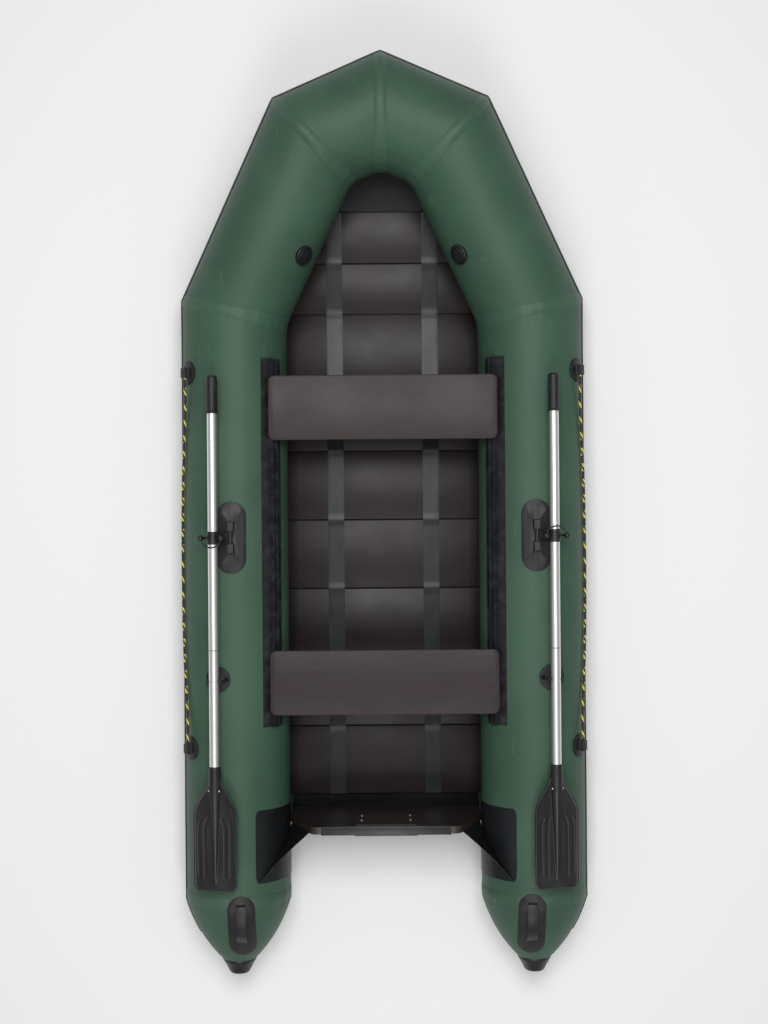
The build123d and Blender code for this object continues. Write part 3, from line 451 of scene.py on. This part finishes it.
def softened(node, width, material, segments=2, sharp=35.0):
    """A frame node with its edges rounded over, as sanding or moulding leaves them."""
    copy = new_object(node + "_rounded", nodes[node].data.copy())
    shape = bmesh.new()
    shape.from_mesh(copy.data)
    bmesh.ops.remove_doubles(shape, verts=shape.verts, dist=0.00002)
    bmesh.ops.dissolve_limit(shape, angle_limit=math.radians(1.0), verts=shape.verts, edges=shape.edges)
    shape.to_mesh(copy.data)
    shape.free()
    if copy.data.has_custom_normals:
        copy.data.attributes.remove(copy.data.attributes["custom_normal"])
    settings = {"width": width, "segments": segments, "limit_method": "ANGLE"}
    settings["angle_limit"] = math.radians(sharp)
    settled(copy, ("BEVEL", settings), ("TRIANGULATE", {}))
    return finish_piece(copy, material, [node], sharp=50.0)


def paint(node, material):
    """A frame node whose shape is right, with its own finish."""
    mesh = nodes[node].data
    mesh.materials.clear()
    mesh.materials.append(material)


def pair(name):
    return [name + "_left", name + "_right"]


# ---- the hull's path ----
def tilted(x, y, z):
    """A point of the level bow, after the bow is tilted up about the knees."""
    ahead = y - KNEE_Y
    up = z - TUBE_Z
    new_y = KNEE_Y + ahead * math.cos(BOW_RISE) - up * math.sin(BOW_RISE)
    return Vector((x, new_y, TUBE_Z + ahead * math.sin(BOW_RISE) + up * math.cos(BOW_RISE)))


knuckle_x = TUBE_X - BOW_TUBE * math.sin(BOW_ANGLE)
knuckle_y = KNEE_Y + BOW_TUBE * math.cos(BOW_ANGLE)
corners = [
    Vector((TUBE_X, CONE_FRONT, TUBE_Z)),
    Vector((TUBE_X, KNEE_Y, TUBE_Z)),
    tilted(knuckle_x, knuckle_y, TUBE_Z),
    tilted(0.0, knuckle_y + knuckle_x * math.tan(NOSE_ANGLE), TUBE_Z),
]
runs = [(b - a).normalized() for a, b in zip(corners, corners[1:])]
mitres = [runs[0], (runs[0] + runs[1]).normalized(), (runs[1] + runs[2]).normalized(), Vector((-1, 0, 0))]
across = [Vector((1, 0, 0))]
upward = [Vector((0, 0, 1))]
for before, after in zip(runs, runs[1:]):
    turn = before.rotation_difference(after)
    across.append(turn @ across[-1])
    upward.append(turn @ upward[-1])
knee = Vector((0, KNEE_Y, TUBE_Z))
level_out = [Vector((1, 0, 0))]
level_out.append(tilted(math.cos(BOW_ANGLE), KNEE_Y + math.sin(BOW_ANGLE), TUBE_Z) - knee)
level_out.append(tilted(math.sin(NOSE_ANGLE), KNEE_Y + math.cos(NOSE_ANGLE), TUBE_Z) - knee)
twist = [math.atan2(out.dot(v), out.dot(u)) for out, u, v in zip(level_out, across, upward)]


def swell(point, angle, near):
    """How far the skin stands from a true cylinder: slow waves, and puckers beside the seams."""
    slow = 0.0007 * noise.noise(point * 4.0) + 0.0004 * noise.noise(point * 11.0)
    ripple = noise.noise(Vector((math.cos(angle) * 9.0, math.sin(angle) * 9.0, point.y * 1.5)))
    inner = 1.0 - math.cos(angle)
    return slow + ripple * math.exp(-near / 0.045) * (0.0010 + 0.0011 * inner)


def run_span(run, angle, radius):
    """Radial direction at an angle, and where that line crosses the mitres, along the run."""
    radial = across[run] * math.cos(angle) + upward[run] * math.sin(angle)
    length = (corners[run + 1] - corners[run]).length
    start = -radius * radial.dot(mitres[run]) / runs[run].dot(mitres[run])
    end = length - radius * radial.dot(mitres[run + 1]) / runs[run].dot(mitres[run + 1])
    return radial, start, end


def skin(run, along, angle, lift=0.0, from_end=False):
    """A point of the starboard skin, that far along a run from one of its mitres."""
    radial, start, end = run_span(run, angle, TUBE_RADIUS)
    where = end - along if from_end else start + along
    point = corners[run] + radial * TUBE_RADIUS + runs[run] * where
    near = min(where - start, end - where)
    return point + radial * (swell(point, angle, near) + lift)


def cone_skin(share, angle, lift=0.0):
    """A point of the stern cone, share 0 at its seam and 1 at its end."""
    slope = math.hypot(CONE_LENGTH, TUBE_RADIUS - CONE_END)
    bulge = 4 * CONE_BULGE * share * (1 - share)
    radius = TUBE_RADIUS - (TUBE_RADIUS - CONE_END) * share + bulge * CONE_LENGTH / slope + lift
    y = CONE_FRONT - CONE_LENGTH * share - bulge * (TUBE_RADIUS - CONE_END) / slope
    radial = across[0] * math.cos(angle) + upward[0] * math.sin(angle)
    point = Vector((TUBE_X, y, TUBE_Z)) + radial * radius
    return point + radial * swell(point, angle, share * CONE_LENGTH) * (1 - share)


def hull_skin():
    """Both side tubes, bow tubes, nose tubes and stern cones as one inflated skin."""
    angles = [2 * math.pi * i / AROUND for i in range(AROUND)]
    rings = [[cone_skin(1 - i / 22, a) for a in angles] for i in range(22)]
    for run, stations in ((0, 150), (1, 60), (2, 34)):
        for i in range(stations):
            share = 0.5 - 0.5 * math.cos(math.pi * i / stations)
            ring = []
            for a in angles:
                start, end = run_span(run, a, TUBE_RADIUS)[1:]
                ring.append(skin(run, share * (end - start), a))
            rings.append(ring)
    tip = [skin(2, 0.0, a, from_end=True) for a in angles]
    port_side = [mirrored(ring) for ring in reversed(rings)]
    vertices, faces = closed_tube(rings + [tip] + port_side)
    made = new_object("hull_skin", mesh_of("hull_skin", vertices, faces))
    tidy_mesh(made)
    names = pair("side_tube") + pair("bow_tube") + pair("nose_tube") + pair("stern_cone") + ["bow_bulkhead"]
    return finish_piece(made, GREEN, names)


def seam_band(joint, width):
    """Points of the band over one mitre, as rings round the tube."""
    half = width / 2
    profile = [(-half, -0.0006), (-half + 0.0015, 0.0011), (-0.004, 0.0013), (0.0, 0.0022)]
    profile += [(0.004, 0.0013), (half - 0.0015, 0.0011), (half, -0.0006), (half, -0.002), (-half, -0.002)]
    if joint == 0:
        profile = [(x + half, lift) for x, lift in profile]
    rings = []
    for i in range(AROUND):
        angle = 2 * math.pi * i / AROUND
        ring = []
        for distance, lift in profile:
            run = joint - 1 if distance < 0 or joint == 3 else joint
            along = abs(distance) / abs(runs[run].dot(mitres[joint]))
            ring.append(skin(run, along, angle, lift, from_end=run == joint - 1))
        rings.append(ring)
    return rings


def over_the_stem(ring):
    """The starboard half of a ring on the bow seam, continued to port."""
    inner = ring[-1]
    return ring[:4] + mirrored(reversed(ring[:3])) + [mirrored([inner])[0], inner]


def seam_tapes():
    """Bands over the stern seams, knees, knuckles and the stem, each mirrored to port."""
    vertices, faces = [], []
    for joint in range(4):
        rings = seam_band(joint, 0.044)
        columns = len(rings[0])
        if joint == 3:
            rings = [over_the_stem(ring) for ring in rings]
        for side in (rings, [mirrored(ring) for ring in rings]):
            if joint == 3 and side is not rings:
                continue
            base = len(vertices)
            for ring in side + side[:1]:
                vertices.extend(ring)
            band = grid_faces(len(side) + 1, columns, True)
            faces.extend([tuple(base + i for i in face) for face in band])
    made = new_object("seam_bands", mesh_of("seam_bands", vertices, faces))
    tidy_mesh(made)
    return finish_piece(made, GREEN_TAPE, ["seam_tapes"], sharp=70.0)


def rub_strake():
    """Ridged rubber band glued round the outside of the tubes."""
    profile = [(-36, -1.5), (-36, 1.5), (-34, 3.4), (-27, 4.2), (-22, 3.2), (-17, 4.8), (-9, 5.8), (0, 6.0)]
    profile += [(-x, lift) for x, lift in reversed(profile[:-1])]
    rings = []
    for i in range(14):
        share = 0.5 * (1 - i / 14)
        rings.append([cone_skin(share, x / STRAKE_TURN, lift / 1000) for x, lift in profile])
    for run, stations in ((0, 120), (1, 60), (2, 30)):
        for i in range(stations):
            share = i / stations
            ring = []
            for x, lift in profile:
                centre = twist[run]
                start, end = run_span(run, 0.0, TUBE_RADIUS)[1:]
                if run == 0:
                    centre = twist[1] * max(0.0, 1 - (end - start) * (1 - share) / 0.16) ** 2 * 0.5
                if run == 1:
                    centre = twist[1] * (1 - 0.5 * max(0.0, 1 - (end - start) * share / 0.16) ** 2)
                angle = centre + x / STRAKE_TURN
                start, end = run_span(run, angle, TUBE_RADIUS)[1:]
                ring.append(skin(run, share * (end - start), angle, lift / 1000))
            rings.append(ring)
    tip = [skin(2, 0.0, twist[2] + x / STRAKE_TURN, lift / 1000, from_end=True) for x, lift in profile]
    for point in tip:
        point.x = 0.0
    rings = rings + [tip] + [mirrored(ring) for ring in reversed(rings)]
    made = new_object("rub_strake_band", mesh_of("rub_strake_band", *closed_tube(rings)))
    tidy_mesh(made)
    return finish_piece(made, RUBBER, ["rub_strake"], sharp=60.0)


def cone_caps():
    """Moulded caps with a rolled rim and a dished end."""
    back = CONE_FRONT - CONE_LENGTH
    end = back - CAP_LENGTH
    line = [(back + 0.004, 0.0565), (back + 0.004, 0.0595), (back, 0.0605), (back - 0.004, 0.0595)]
    line += [(back - 0.012, 0.0540), (end + 0.012, 0.0400), (end + 0.004, 0.0365), (end, 0.0320)]
    line += [(end, 0.0260), (end + 0.003, 0.0220), (end + 0.004, 0.0010)]
    for side, name in ((1, "right"), (-1, "left")):
        rings = []
        for y, radius in line:
            ring = []
            for i in range(64):
                angle = 2 * math.pi * i / 64
                x = side * TUBE_X + radius * math.cos(angle)
                ring.append(Vector((x, y, TUBE_Z + radius * math.sin(angle))))
            rings.append(ring)
        made = new_object("cone_cap_" + name, mesh_of("cone_cap", *closed_tube(rings)))
        tidy_mesh(made)
        finish_piece(made, PLASTIC, ["cone_caps"], sharp=50.0)


# ---- floor ----
def on_floor(x, walk, height):
    """A point of the floor, from a distance walked along it, level and then rising."""
    if walk <= FOLD_Y:
        return Vector((x, walk, height))
    return tilted(x, walk - 2 * (FOLD_Y - KNEE_Y), height)


def sheet_half_width(walk):
    """Half width of the bottom fabric at a distance walked along it."""
    y = walk if walk <= FOLD_Y else walk - 2 * (FOLD_Y - KNEE_Y)
    if y <= KNEE_Y:
        return TUBE_X + GLUED_EDGE
    if y <= knuckle_y:
        return TUBE_X - (y - KNEE_Y) * math.tan(BOW_ANGLE) + GLUED_EDGE
    return max(0.02, (knuckle_y + knuckle_x * math.tan(NOSE_ANGLE) - y) / math.tan(NOSE_ANGLE) + 0.02)


def bottom_sheet():
    """The stretched bottom fabric, level aft and rising with the bow."""
    columns = 61
    rows = []
    front = knuckle_y + knuckle_x * math.tan(NOSE_ANGLE)
    back = TRANSOM_BACK - 0.012
    ys = [back + (front + 2 * (FOLD_Y - KNEE_Y) - back) * i / 150 for i in range(150)]
    area = 0.0
    for i, y in enumerate(ys):
        half = sheet_half_width(y)
        row = []
        for c in range(columns):
            x = half * (2 * c / (columns - 1) - 1)
            wave = 0.0005 + 0.0005 * noise.noise(Vector((x * 7, y * 7, 3.0)))
            row.append(on_floor(x, y, wave))
        rows.append(row)
        if i:
            area += (ys[i] - ys[i - 1]) * (sheet_half_width(ys[i - 1]) + half)
    vertices = [p for row in rows for p in row]
    made = new_object("bottom_fabric", mesh_of("bottom_fabric", vertices, grid_faces(len(rows), columns)))
    settled(made, ("SOLIDIFY", {"thickness": 0.0008, "offset": 0.0}))
    finish_piece(made, BLACK_SHEET, ["bottom_sheet"])
    return made, area, ys[-1] - ys[0]


def floor_straps():
    """Glossy bands over the boards, lifted a little where they cross each seam."""
    seams = [FLOOR_BACK + BOARD_PITCH * i for i in range(1, 8)] + [FOLD_Y + BOW_PITCH]
    front = FOLD_Y + 2 * BOW_PITCH
    for side, name in ((1, "right"), (-1, "left")):
        rows = []
        for i in range(421):
            y = FLOOR_BACK + 0.002 + (front - FLOOR_BACK - 0.004) * i / 420
            hump = sum(0.0022 * math.exp(-(((y - s) / 0.014) ** 2)) for s in seams)
            row = []
            for c in range(13):
                x = side * STRAP_X + STRAP_WIDTH * (c / 12 - 0.5)
                waves = 0.0005 * (1 + noise.noise(Vector((x * 30, y * 9, side))))
                edge = 0.0004 if c in (0, 12) else 0.0
                z = FLOOR_TOP + 0.0007 + hump + waves - edge
                row.append(on_floor(x, y, z))
            rows.append(row)
        vertices = [p for row in rows for p in row]
        made = new_object("floor_strap_" + name, mesh_of("floor_strap", vertices, grid_faces(421, 13)))
        settled(made, ("SOLIDIFY", {"thickness": 0.0008, "offset": 0.0}))
        finish_piece(made, BLACK_STRAP, ["floor_straps"])


def transom_sill():
    """Wrinkled fabric that curves from the floor on to the transom."""
    reach = FLOOR_BACK - TRANSOM_FRONT
    radius = (reach**2 + SILL_RISE**2) / (2 * reach)
    sweep = math.asin(SILL_RISE / radius)
    rows = []
    for i in range(180):
        x = SILL_WIDTH * (i / 179 - 0.5)
        row = []
        for j in range(22):
            turn = sweep * j / 21
            fold = noise.noise(Vector((x * 26, j * 0.10, 2.0)))
            fold += 0.6 * noise.noise(Vector((x * 70, j * 0.2, 5.0)))
            r = radius - 0.0018 - 0.0016 * (1 + fold) * math.sin(math.pi * j / 21)
            y = TRANSOM_FRONT + radius - r * math.cos(turn)
            row.append(Vector((x, y, SHEET + SILL_RISE - r * math.sin(turn))))
        rows.append(row)
    vertices = [p for row in rows for p in row]
    made = new_object("transom_sill_fabric", mesh_of("transom_sill_fabric", vertices, grid_faces(180, 22)))
    settled(made, ("SOLIDIFY", {"thickness": 0.0011, "offset": 0.0}))
    finish_piece(made, BLACK_STRAP, ["transom_sill"])


def rounded_span(v, corner):
    """Share of the full width left at v, from -1 to 1, on an outline with round corners."""
    over = max(0.0, abs(v) - (1 - corner)) / corner
    return 1 - corner * 0.5 * (1 - math.sqrt(max(0.0, 1 - over * over)))


def transom_holders():
    """Glued patches on the tubes with a fabric web out to the transom."""
    for side, name in ((1, "right"), (-1, "left")):
        vertices, faces = [], []
        rows, columns = 60, 44
        for i in range(rows):
            v = 2 * i / (rows - 1) - 1
            span = rounded_span(v, 0.22)
            for j in range(columns):
                u = 2 * j / (columns - 1) - 1
                angle = math.radians(90 + 59 + 35 * u * span)
                y = TRANSOM_BACK - 0.0545 + 0.1275 * v
                fold = 0.0016 * max(0.0, noise.noise(Vector((u * 2.0, y * 16, 4.0 + side)))) * (1 - abs(v))
                radius = TUBE_RADIUS + 0.0012 + fold
                x = TUBE_X + radius * math.cos(angle)
                vertices.append(Vector((side * x, y, TUBE_Z + radius * math.sin(angle))))
        faces.extend(grid_faces(rows, columns))
        base = len(vertices)
        edge_y = TRANSOM_BACK - 0.0015
        top, low = Vector((0.268, edge_y, 0.367)), Vector((0.339, edge_y, 0.190))
        aft, deep = Vector((0.4465, edge_y - 0.1835, 0.357)), Vector((0.362, edge_y - 0.0735, 0.270))
        for i in range(30):
            u = i / 29
            for j in range(18):
                v = j / 17
                point = top.lerp(aft, u).lerp(low.lerp(deep, u), v)
                sag = 0.010 * math.sin(math.pi * u) * (1 - v)
                fold = 0.0025 * math.sin(u * 16 + v * 3) * math.sin(math.pi * u)
                point += Vector((0.5, 0.4, 0.0)) * sag + Vector((0.7, -0.7, 0.0)) * fold
                vertices.append(Vector((side * point.x, point.y, point.z)))
        faces.extend([tuple(base + k for k in face) for face in grid_faces(30, 18)])
        base = len(vertices)
        for i in range(20):
            u = i / 19
            for j in range(10):
                v = j / 9
                z = 0.190 + 0.177 * u
                edge = 0.341 + (0.270 - 0.341) * u
                bow = 0.0006 * (1 + noise.noise(Vector((v * 3, z * 20, side))))
                vertices.append(Vector((side * (edge - 0.055 * v), TRANSOM_BACK - 0.0009 - bow, z)))
        faces.extend([tuple(base + k for k in face) for face in grid_faces(20, 10)])
        made = new_object("transom_holder_" + name, mesh_of("transom_holder", vertices, faces))
        settled(made, ("SOLIDIFY", {"thickness": 0.0013, "offset": 0.0}))
        tidy_mesh(made, 0.000001)
        finish_piece(made, BLACK_PATCH, ["transom_holders"])


# ---- oars ----
def oar_matrix(side):
    """From the oar's own frame, y along the shaft and z off the tube, to the boat's."""
    turn = math.radians(OAR_ANGLE)
    radial = Vector((math.sin(turn), 0, math.cos(turn)))
    tangent = Vector((math.cos(turn), 0, -math.sin(turn)))
    origin = Vector((TUBE_X, 0, TUBE_Z)) + radial * SHAFT_HEIGHT
    place = Matrix((tangent, (0, 1, 0), radial)).transposed().to_4x4()
    place.translation = origin
    return Matrix.Diagonal((side, 1, 1, 1)) @ place


def lathe_along_oar(name, line, side, material, stands_for):
    """A round piece on the shaft's axis from places along it and radii."""
    rings = []
    for y, radius in line:
        rings.append([Vector((radius * math.cos(t), y, radius * math.sin(t)))
                      for t in [2 * math.pi * i / 56 for i in range(56)]])
    made = new_object(name, mesh_of(name, *closed_tube(rings)))
    made.data.transform(oar_matrix(side))
    tidy_mesh(made)
    body = "oar_right" if side > 0 else "oar_left"
    return finish_piece(made, material, stands_for, body=body, sharp=55.0)


def blade_width(y):
    """Half width of the blade."""
    up = y - OAR_BACK
    if up < BLADE_CORNER:
        over = BLADE_CORNER - up
        return BLADE_HALF - BLADE_CORNER + math.sqrt(max(0.0, BLADE_CORNER**2 - over**2))
    share = min(1.0, max(0.0, (up - 0.261) / 0.138))
    share = share * share * (3 - 2 * share)
    return BLADE_HALF + (SOCKET_RADIUS - BLADE_HALF) * share


def in_groove(x, y):
    """1 inside one of the moulded grooves, 0 outside, soft at the rim."""
    depth = 0.0
    up = y - OAR_BACK
    for centre, low, high in ((0.036, 0.046, 0.249), (0.058, 0.056, 0.239)):
        bend = max(0.0, (up - 0.206) / 0.045)
        middle = centre - 0.011 * min(1.0, bend) ** 2
        beyond = max(low - up, up - high, 0.0)
        away = math.hypot(abs(x) - middle, beyond)
        depth = max(depth, min(1.0, max(0.0, (0.0052 - away) / 0.0014)))
    return depth


def blade(side):
    """A ribbed plate with rounded corners and moulded grooves, and the socket for the shaft."""
    rows, columns = 190, 121
    top, under, hollows = [], [], []
    for i in range(rows):
        y = OAR_BACK + BLADE_PLATE * i / (rows - 1)
        width = max(0.004, blade_width(y))
        spine = SOCKET_RADIUS - 0.0165 * min(1.0, max(0.0, OAR_BACK + 0.334 - y) / 0.309)
        for j in range(columns):
            x = width * (2 * j / (columns - 1) - 1)
            edge = min(width - abs(x), y - OAR_BACK)
            height = 0.0021 + 0.0016 * math.exp(-(((edge - 0.005) / 0.004) ** 2))
            height *= min(1.0, math.sqrt(max(0.0, edge) / 0.0022)) if edge < 0.0022 else 1.0
            if abs(x) < spine:
                height = max(height, math.sqrt(spine**2 - x * x) * min(1.0, (y - OAR_BACK) / 0.05))
            groove = in_groove(x, y)
            height -= 0.0016 * groove
            hollows.append(groove)
            top.append(Vector((x, y, height)))
            under.append(Vector((x, y, -height)))
    faces = grid_faces(rows, columns)
    count = rows * columns
    vertices = top + under
    faces += [tuple(count + k for k in reversed(face)) for face in grid_faces(rows, columns)]
    rim = [j for j in range(columns)] + [i * columns + columns - 1 for i in range(1, rows)]
    rim += [(rows - 1) * columns + j for j in reversed(range(columns - 1))]
    rim += [i * columns for i in reversed(range(1, rows - 1))]
    for a, b in zip(rim, rim[1:] + rim[:1]):
        faces.append((b, a, count + a, count + b))
    name = "right" if side > 0 else "left"
    made = new_object("oar_blade_shell_" + name, mesh_of("oar_blade_shell", vertices, faces))
    # groove mask for the blade finish, which paints shade into the grooves
    groove = made.data.attributes.new("groove", "FLOAT", "POINT")
    groove.data.foreach_set("value", hollows + hollows)
    made.data.transform(oar_matrix(side))
    tidy_mesh(made, 0.000002)
    finish_piece(made, BLADE, ["oar_blade_" + name], sharp=70.0)
    line = [(0.336, 0.0172), (0.336, 0.0214), (0.421, 0.0206), (0.427, 0.0198), (0.429, 0.0172)]
    socket = [(OAR_BACK + up, radius) for up, radius in line]
    lathe_along_oar("blade_socket_" + name, socket, side, BLADE, ["oar_blade_" + name])


def screw_head_tree():
    """Geometry nodes: a domed screw head on every point, with named sizes."""
    tree = bpy.data.node_groups.new("screw_heads", "GeometryNodeTree")
    tree.interface.new_socket("Geometry", in_out="INPUT", socket_type="NodeSocketGeometry")
    radius = tree.interface.new_socket("Head Radius", in_out="INPUT", socket_type="NodeSocketFloat")
    flat = tree.interface.new_socket("Flattening", in_out="INPUT", socket_type="NodeSocketFloat")
    finish = tree.interface.new_socket("Finish", in_out="INPUT", socket_type="NodeSocketMaterial")
    tree.interface.new_socket("Geometry", in_out="OUTPUT", socket_type="NodeSocketGeometry")
    start = tree.nodes.new("NodeGroupInput")
    end = tree.nodes.new("NodeGroupOutput")
    dome = tree.nodes.new("GeometryNodeMeshUVSphere")
    dome.inputs["Segments"].default_value = 20
    dome.inputs["Rings"].default_value = 10
    size = tree.nodes.new("ShaderNodeCombineXYZ")
    size.inputs["X"].default_value = 1.0
    size.inputs["Y"].default_value = 1.0
    place = tree.nodes.new("GeometryNodeInstanceOnPoints")
    real = tree.nodes.new("GeometryNodeRealizeInstances")
    coat = tree.nodes.new("GeometryNodeSetMaterial")
    link = tree.links.new
    link(start.outputs["Head Radius"], dome.inputs["Radius"])
    link(start.outputs["Flattening"], size.inputs["Z"])
    link(start.outputs["Geometry"], place.inputs["Points"])
    link(dome.outputs["Mesh"], place.inputs["Instance"])
    link(size.outputs["Vector"], place.inputs["Scale"])
    link(place.outputs["Instances"], real.inputs["Geometry"])
    link(real.outputs["Geometry"], coat.inputs["Geometry"])
    link(start.outputs["Finish"], coat.inputs["Material"])
    link(coat.outputs["Geometry"], end.inputs["Geometry"])
    return tree, radius.identifier, flat.identifier, finish.identifier


def screw_heads(name, points, place, body, radius, flat):
    tree, radius_id, flat_id, finish_id = screw_head_tree()
    made = new_object(name, mesh_of(name, points, []))
    modifier = made.modifiers.new("heads", "NODES")
    modifier.node_group = tree
    modifier[radius_id] = radius
    modifier[flat_id] = flat
    modifier[finish_id] = STEEL
    graph = bpy.context.evaluated_depsgraph_get()
    mesh = bpy.data.meshes.new_from_object(made.evaluated_get(graph))
    made.modifiers.clear()
    made.data = mesh
    mesh.transform(place)
    tidy_mesh(made)
    finish_piece(made, STEEL, [], body=body)


def oars():
    """Grips, joint rings, blades and the screws that hold each blade on its shaft."""
    for side, name in ((1, "right"), (-1, "left")):
        grip = [(OAR_FRONT - 0.130, 0.0172), (OAR_FRONT - 0.130, 0.0215), (OAR_FRONT - 0.128, 0.0230)]
        grip += [(OAR_FRONT - 0.126, 0.0230), (OAR_FRONT - 0.124, 0.0205)]
        for i in range(12):
            y = OAR_FRONT - 0.118 + 0.0085 * i
            grip += [(y, 0.0184), (y + 0.0022, 0.0190), (y + 0.0060, 0.0190), (y + 0.0082, 0.0184)]
        grip += [(OAR_FRONT - 0.008, 0.0190), (OAR_FRONT - 0.003, 0.0175)]
        grip += [(OAR_FRONT, 0.0130), (OAR_FRONT, 0.001)]
        lathe_along_oar("oar_grip_sleeve_" + name, grip, side, RUBBER, ["oar_grip_" + name])
        ring = [(SHAFT_JOINT - 0.0022, 0.0165), (SHAFT_JOINT - 0.0018, 0.0174)]
        ring += [(SHAFT_JOINT + 0.0018, 0.0174), (SHAFT_JOINT + 0.0022, 0.0165)]
        lathe_along_oar("shaft_joint_ring_" + name, ring, side, STEEL, [])
        blade(side)
        heads = [(x, OAR_BACK + 0.346, 0.0108) for x in (-0.0185, 0.0185)]
        screw_heads("blade_screws_" + name, heads, oar_matrix(side), "oar_" + name, 0.0040, 0.6)


# ---- grab lines ----
LINE_ROUTE = [
    (0.6987, 0.5185, 0.3047), (0.6987, 0.4800, 0.3047), (0.6977, 0.4130, 0.2936),
    (0.7035, 0.3080, 0.2773), (0.7119, 0.1830, 0.2589), (0.7169, 0.0530, 0.2445),
    (0.7197, -0.0820, 0.2348), (0.7199, -0.2170, 0.2338), (0.7181, -0.3520, 0.2407),
    (0.7137, -0.4820, 0.2541), (0.7066, -0.6040, 0.2713), (0.6982, -0.7060, 0.2919),
    (0.6987, -0.7760, 0.3047), (0.6987, -0.8155, 0.3047),
]


def spline_points(route):
    """Points read from a smooth NURBS spline through a route's control points."""
    curve = bpy.data.curves.new("route", "CURVE")
    curve.dimensions = "3D"
    curve.resolution_u = 24
    spline = curve.splines.new("NURBS")
    spline.points.add(len(route) - 1)
    for point, place in zip(spline.points, route):
        point.co = (*place, 1.0)
    spline.order_u = 3
    spline.use_endpoint_u = True
    made = new_object("route", curve)
    graph = bpy.context.evaluated_depsgraph_get()
    mesh = bpy.data.meshes.new_from_object(made.evaluated_get(graph))
    points = [v.co.copy() for v in mesh.vertices]
    bpy.data.objects.remove(made)
    return points


def rope(side):
    """A braided line as a tube whose UV map runs round it and along it."""
    name = "right" if side > 0 else "left"
    points = spline_points([(side * x, y, z) for x, y, z in LINE_ROUTE])
    around, radius, length = 14, 0.0050, 0.0
    vertices, marks = [], []
    for i, point in enumerate(points):
        before, after = points[max(0, i - 1)], points[min(len(points) - 1, i + 1)]
        ahead = (after - before).normalized()
        out = Vector((1, 0, 0)) - ahead * ahead.x
        out.normalize()
        up = ahead.cross(out)
        if i:
            length += (point - points[i - 1]).length
        marks.append(length)
        for k in range(around):
            turn = 2 * math.pi * k / around
            vertices.append(point + (out * math.cos(turn) + up * math.sin(turn)) * radius)
    rows = len(points)
    faces = grid_faces(rows, around, True)
    faces += [tuple(reversed(range(around))), tuple(range((rows - 1) * around, rows * around))]
    mesh = mesh_of("grab_rope", vertices, faces)
    layer = mesh.uv_layers.new(name="rope")
    for polygon in mesh.polygons:
        wraps = any(mesh.loops[l].vertex_index % around == around - 1 for l in polygon.loop_indices)
        for l in polygon.loop_indices:
            row, column = divmod(mesh.loops[l].vertex_index, around)
            u = 1.0 if wraps and column == 0 else column / around
            layer.data[l].uv = (u, marks[row])
    made = new_object("grab_rope_" + name, mesh)
    shape = bmesh.new()
    shape.from_mesh(mesh)
    bmesh.ops.recalc_face_normals(shape, faces=shape.faces)
    shape.to_mesh(mesh)
    shape.free()
    finish_piece(made, ROPE, ["grab_line_" + name], sharp=80.0)


# ---- floor of the studio, light and camera ----
def studio():
    """Pale floor, two softboxes overhead, a faint all-round fill and the camera."""
    ground = Finish("studio_floor", 0.9, specular=0.1)
    shade = ground.noise(ground.place(), 0.6, 2.0)
    ground.colour(ground.mix(shade, (0.94, 0.94, 0.94), (0.95, 0.95, 0.95)))
    reach = 30.0
    low = -SHEET
    outline = [(-reach, -reach, low), (reach, -reach, low), (reach, reach, low), (-reach, reach, low)]
    plane = mesh_of("studio_floor", outline, [(0, 1, 2, 3)])
    made = new_object("studio_floor", plane)
    plane.materials.append(ground.material)
    lights = [((0.0, 1.6, 6.2), 2.6, 215.0), ((0.0, -3.6, 5.6), 2.6, 105.0)]
    for i, (place, size, power) in enumerate(lights):
        data = bpy.data.lights.new("softbox_%d" % i, "AREA")
        data.shape = "SQUARE"
        data.size = size
        data.energy = power
        lamp = bpy.data.objects.new("softbox_%d" % i, data)
        bpy.context.scene.collection.objects.link(lamp)
        lamp.location = place
        lamp.rotation_euler = (-Vector(place)).to_track_quat("-Z", "Y").to_euler()
    world = bpy.data.worlds.new("studio")
    bpy.context.scene.world = world
    world.use_nodes = True
    world.node_tree.nodes["Background"].inputs["Color"].default_value = (1, 1, 1, 1)
    world.node_tree.nodes["Background"].inputs["Strength"].default_value = 0.30
    data = bpy.data.cameras.new("camera")
    data.sensor_width = 36.0
    data.lens = 49.75
    camera = bpy.data.objects.new("camera", data)
    bpy.context.scene.collection.objects.link(camera)
    camera.location = (0.0016, 0.018, 5.303)
    camera.rotation_euler = (0.0, 0.0, math.radians(-0.47))
    bpy.context.scene.camera = camera
    bpy.context.scene.view_settings.view_transform = "Standard"


studio()
for side in (1, -1):
    rope(side)
hull_skin()
seam_tapes()
rub_strake()
cone_caps()
fabric, fabric_area, fabric_length = bottom_sheet()
floor_straps()
transom_sill()
transom_holders()
oars()
for index in range(1, 10):
    softened("floor_board_%d" % index, 0.0016, FLOOR_PLY)
for node in ("seat_front", "seat_rear"):
    softened(node, 0.0012, SEAT_PLY)
softened("transom_trim", 0.0010, PLASTIC)
paint("transom_board", TRANSOM_PLY)
paint("motor_plates", PLATE_PLY)
for node in ("transom_bolts", "oarlock_axles", "valve_springs"):
    paint(node, STEEL)
for node in ("seat_rails", "seat_front_runners", "seat_rear_runners"):
    paint(node, RAIL_PLASTIC)
for node in pair("oarlock_pad") + ["line_holders", "carry_handles"]:
    softened(node, 0.0010, RUBBER)
paint("oar_rests", RUBBER)
moulded_pairs = pair("oarlock_bracket") + pair("oarlock_fork") + pair("oar_collar") + pair("valve_cap")
for node in moulded_pairs + ["valve_bodies"]:
    paint(node, PLASTIC)
for node in pair("oar_shaft"):
    paint(node, ALUMINIUM)
for node in pair("valve_stem"):
    paint(node, GREY_PLASTIC)
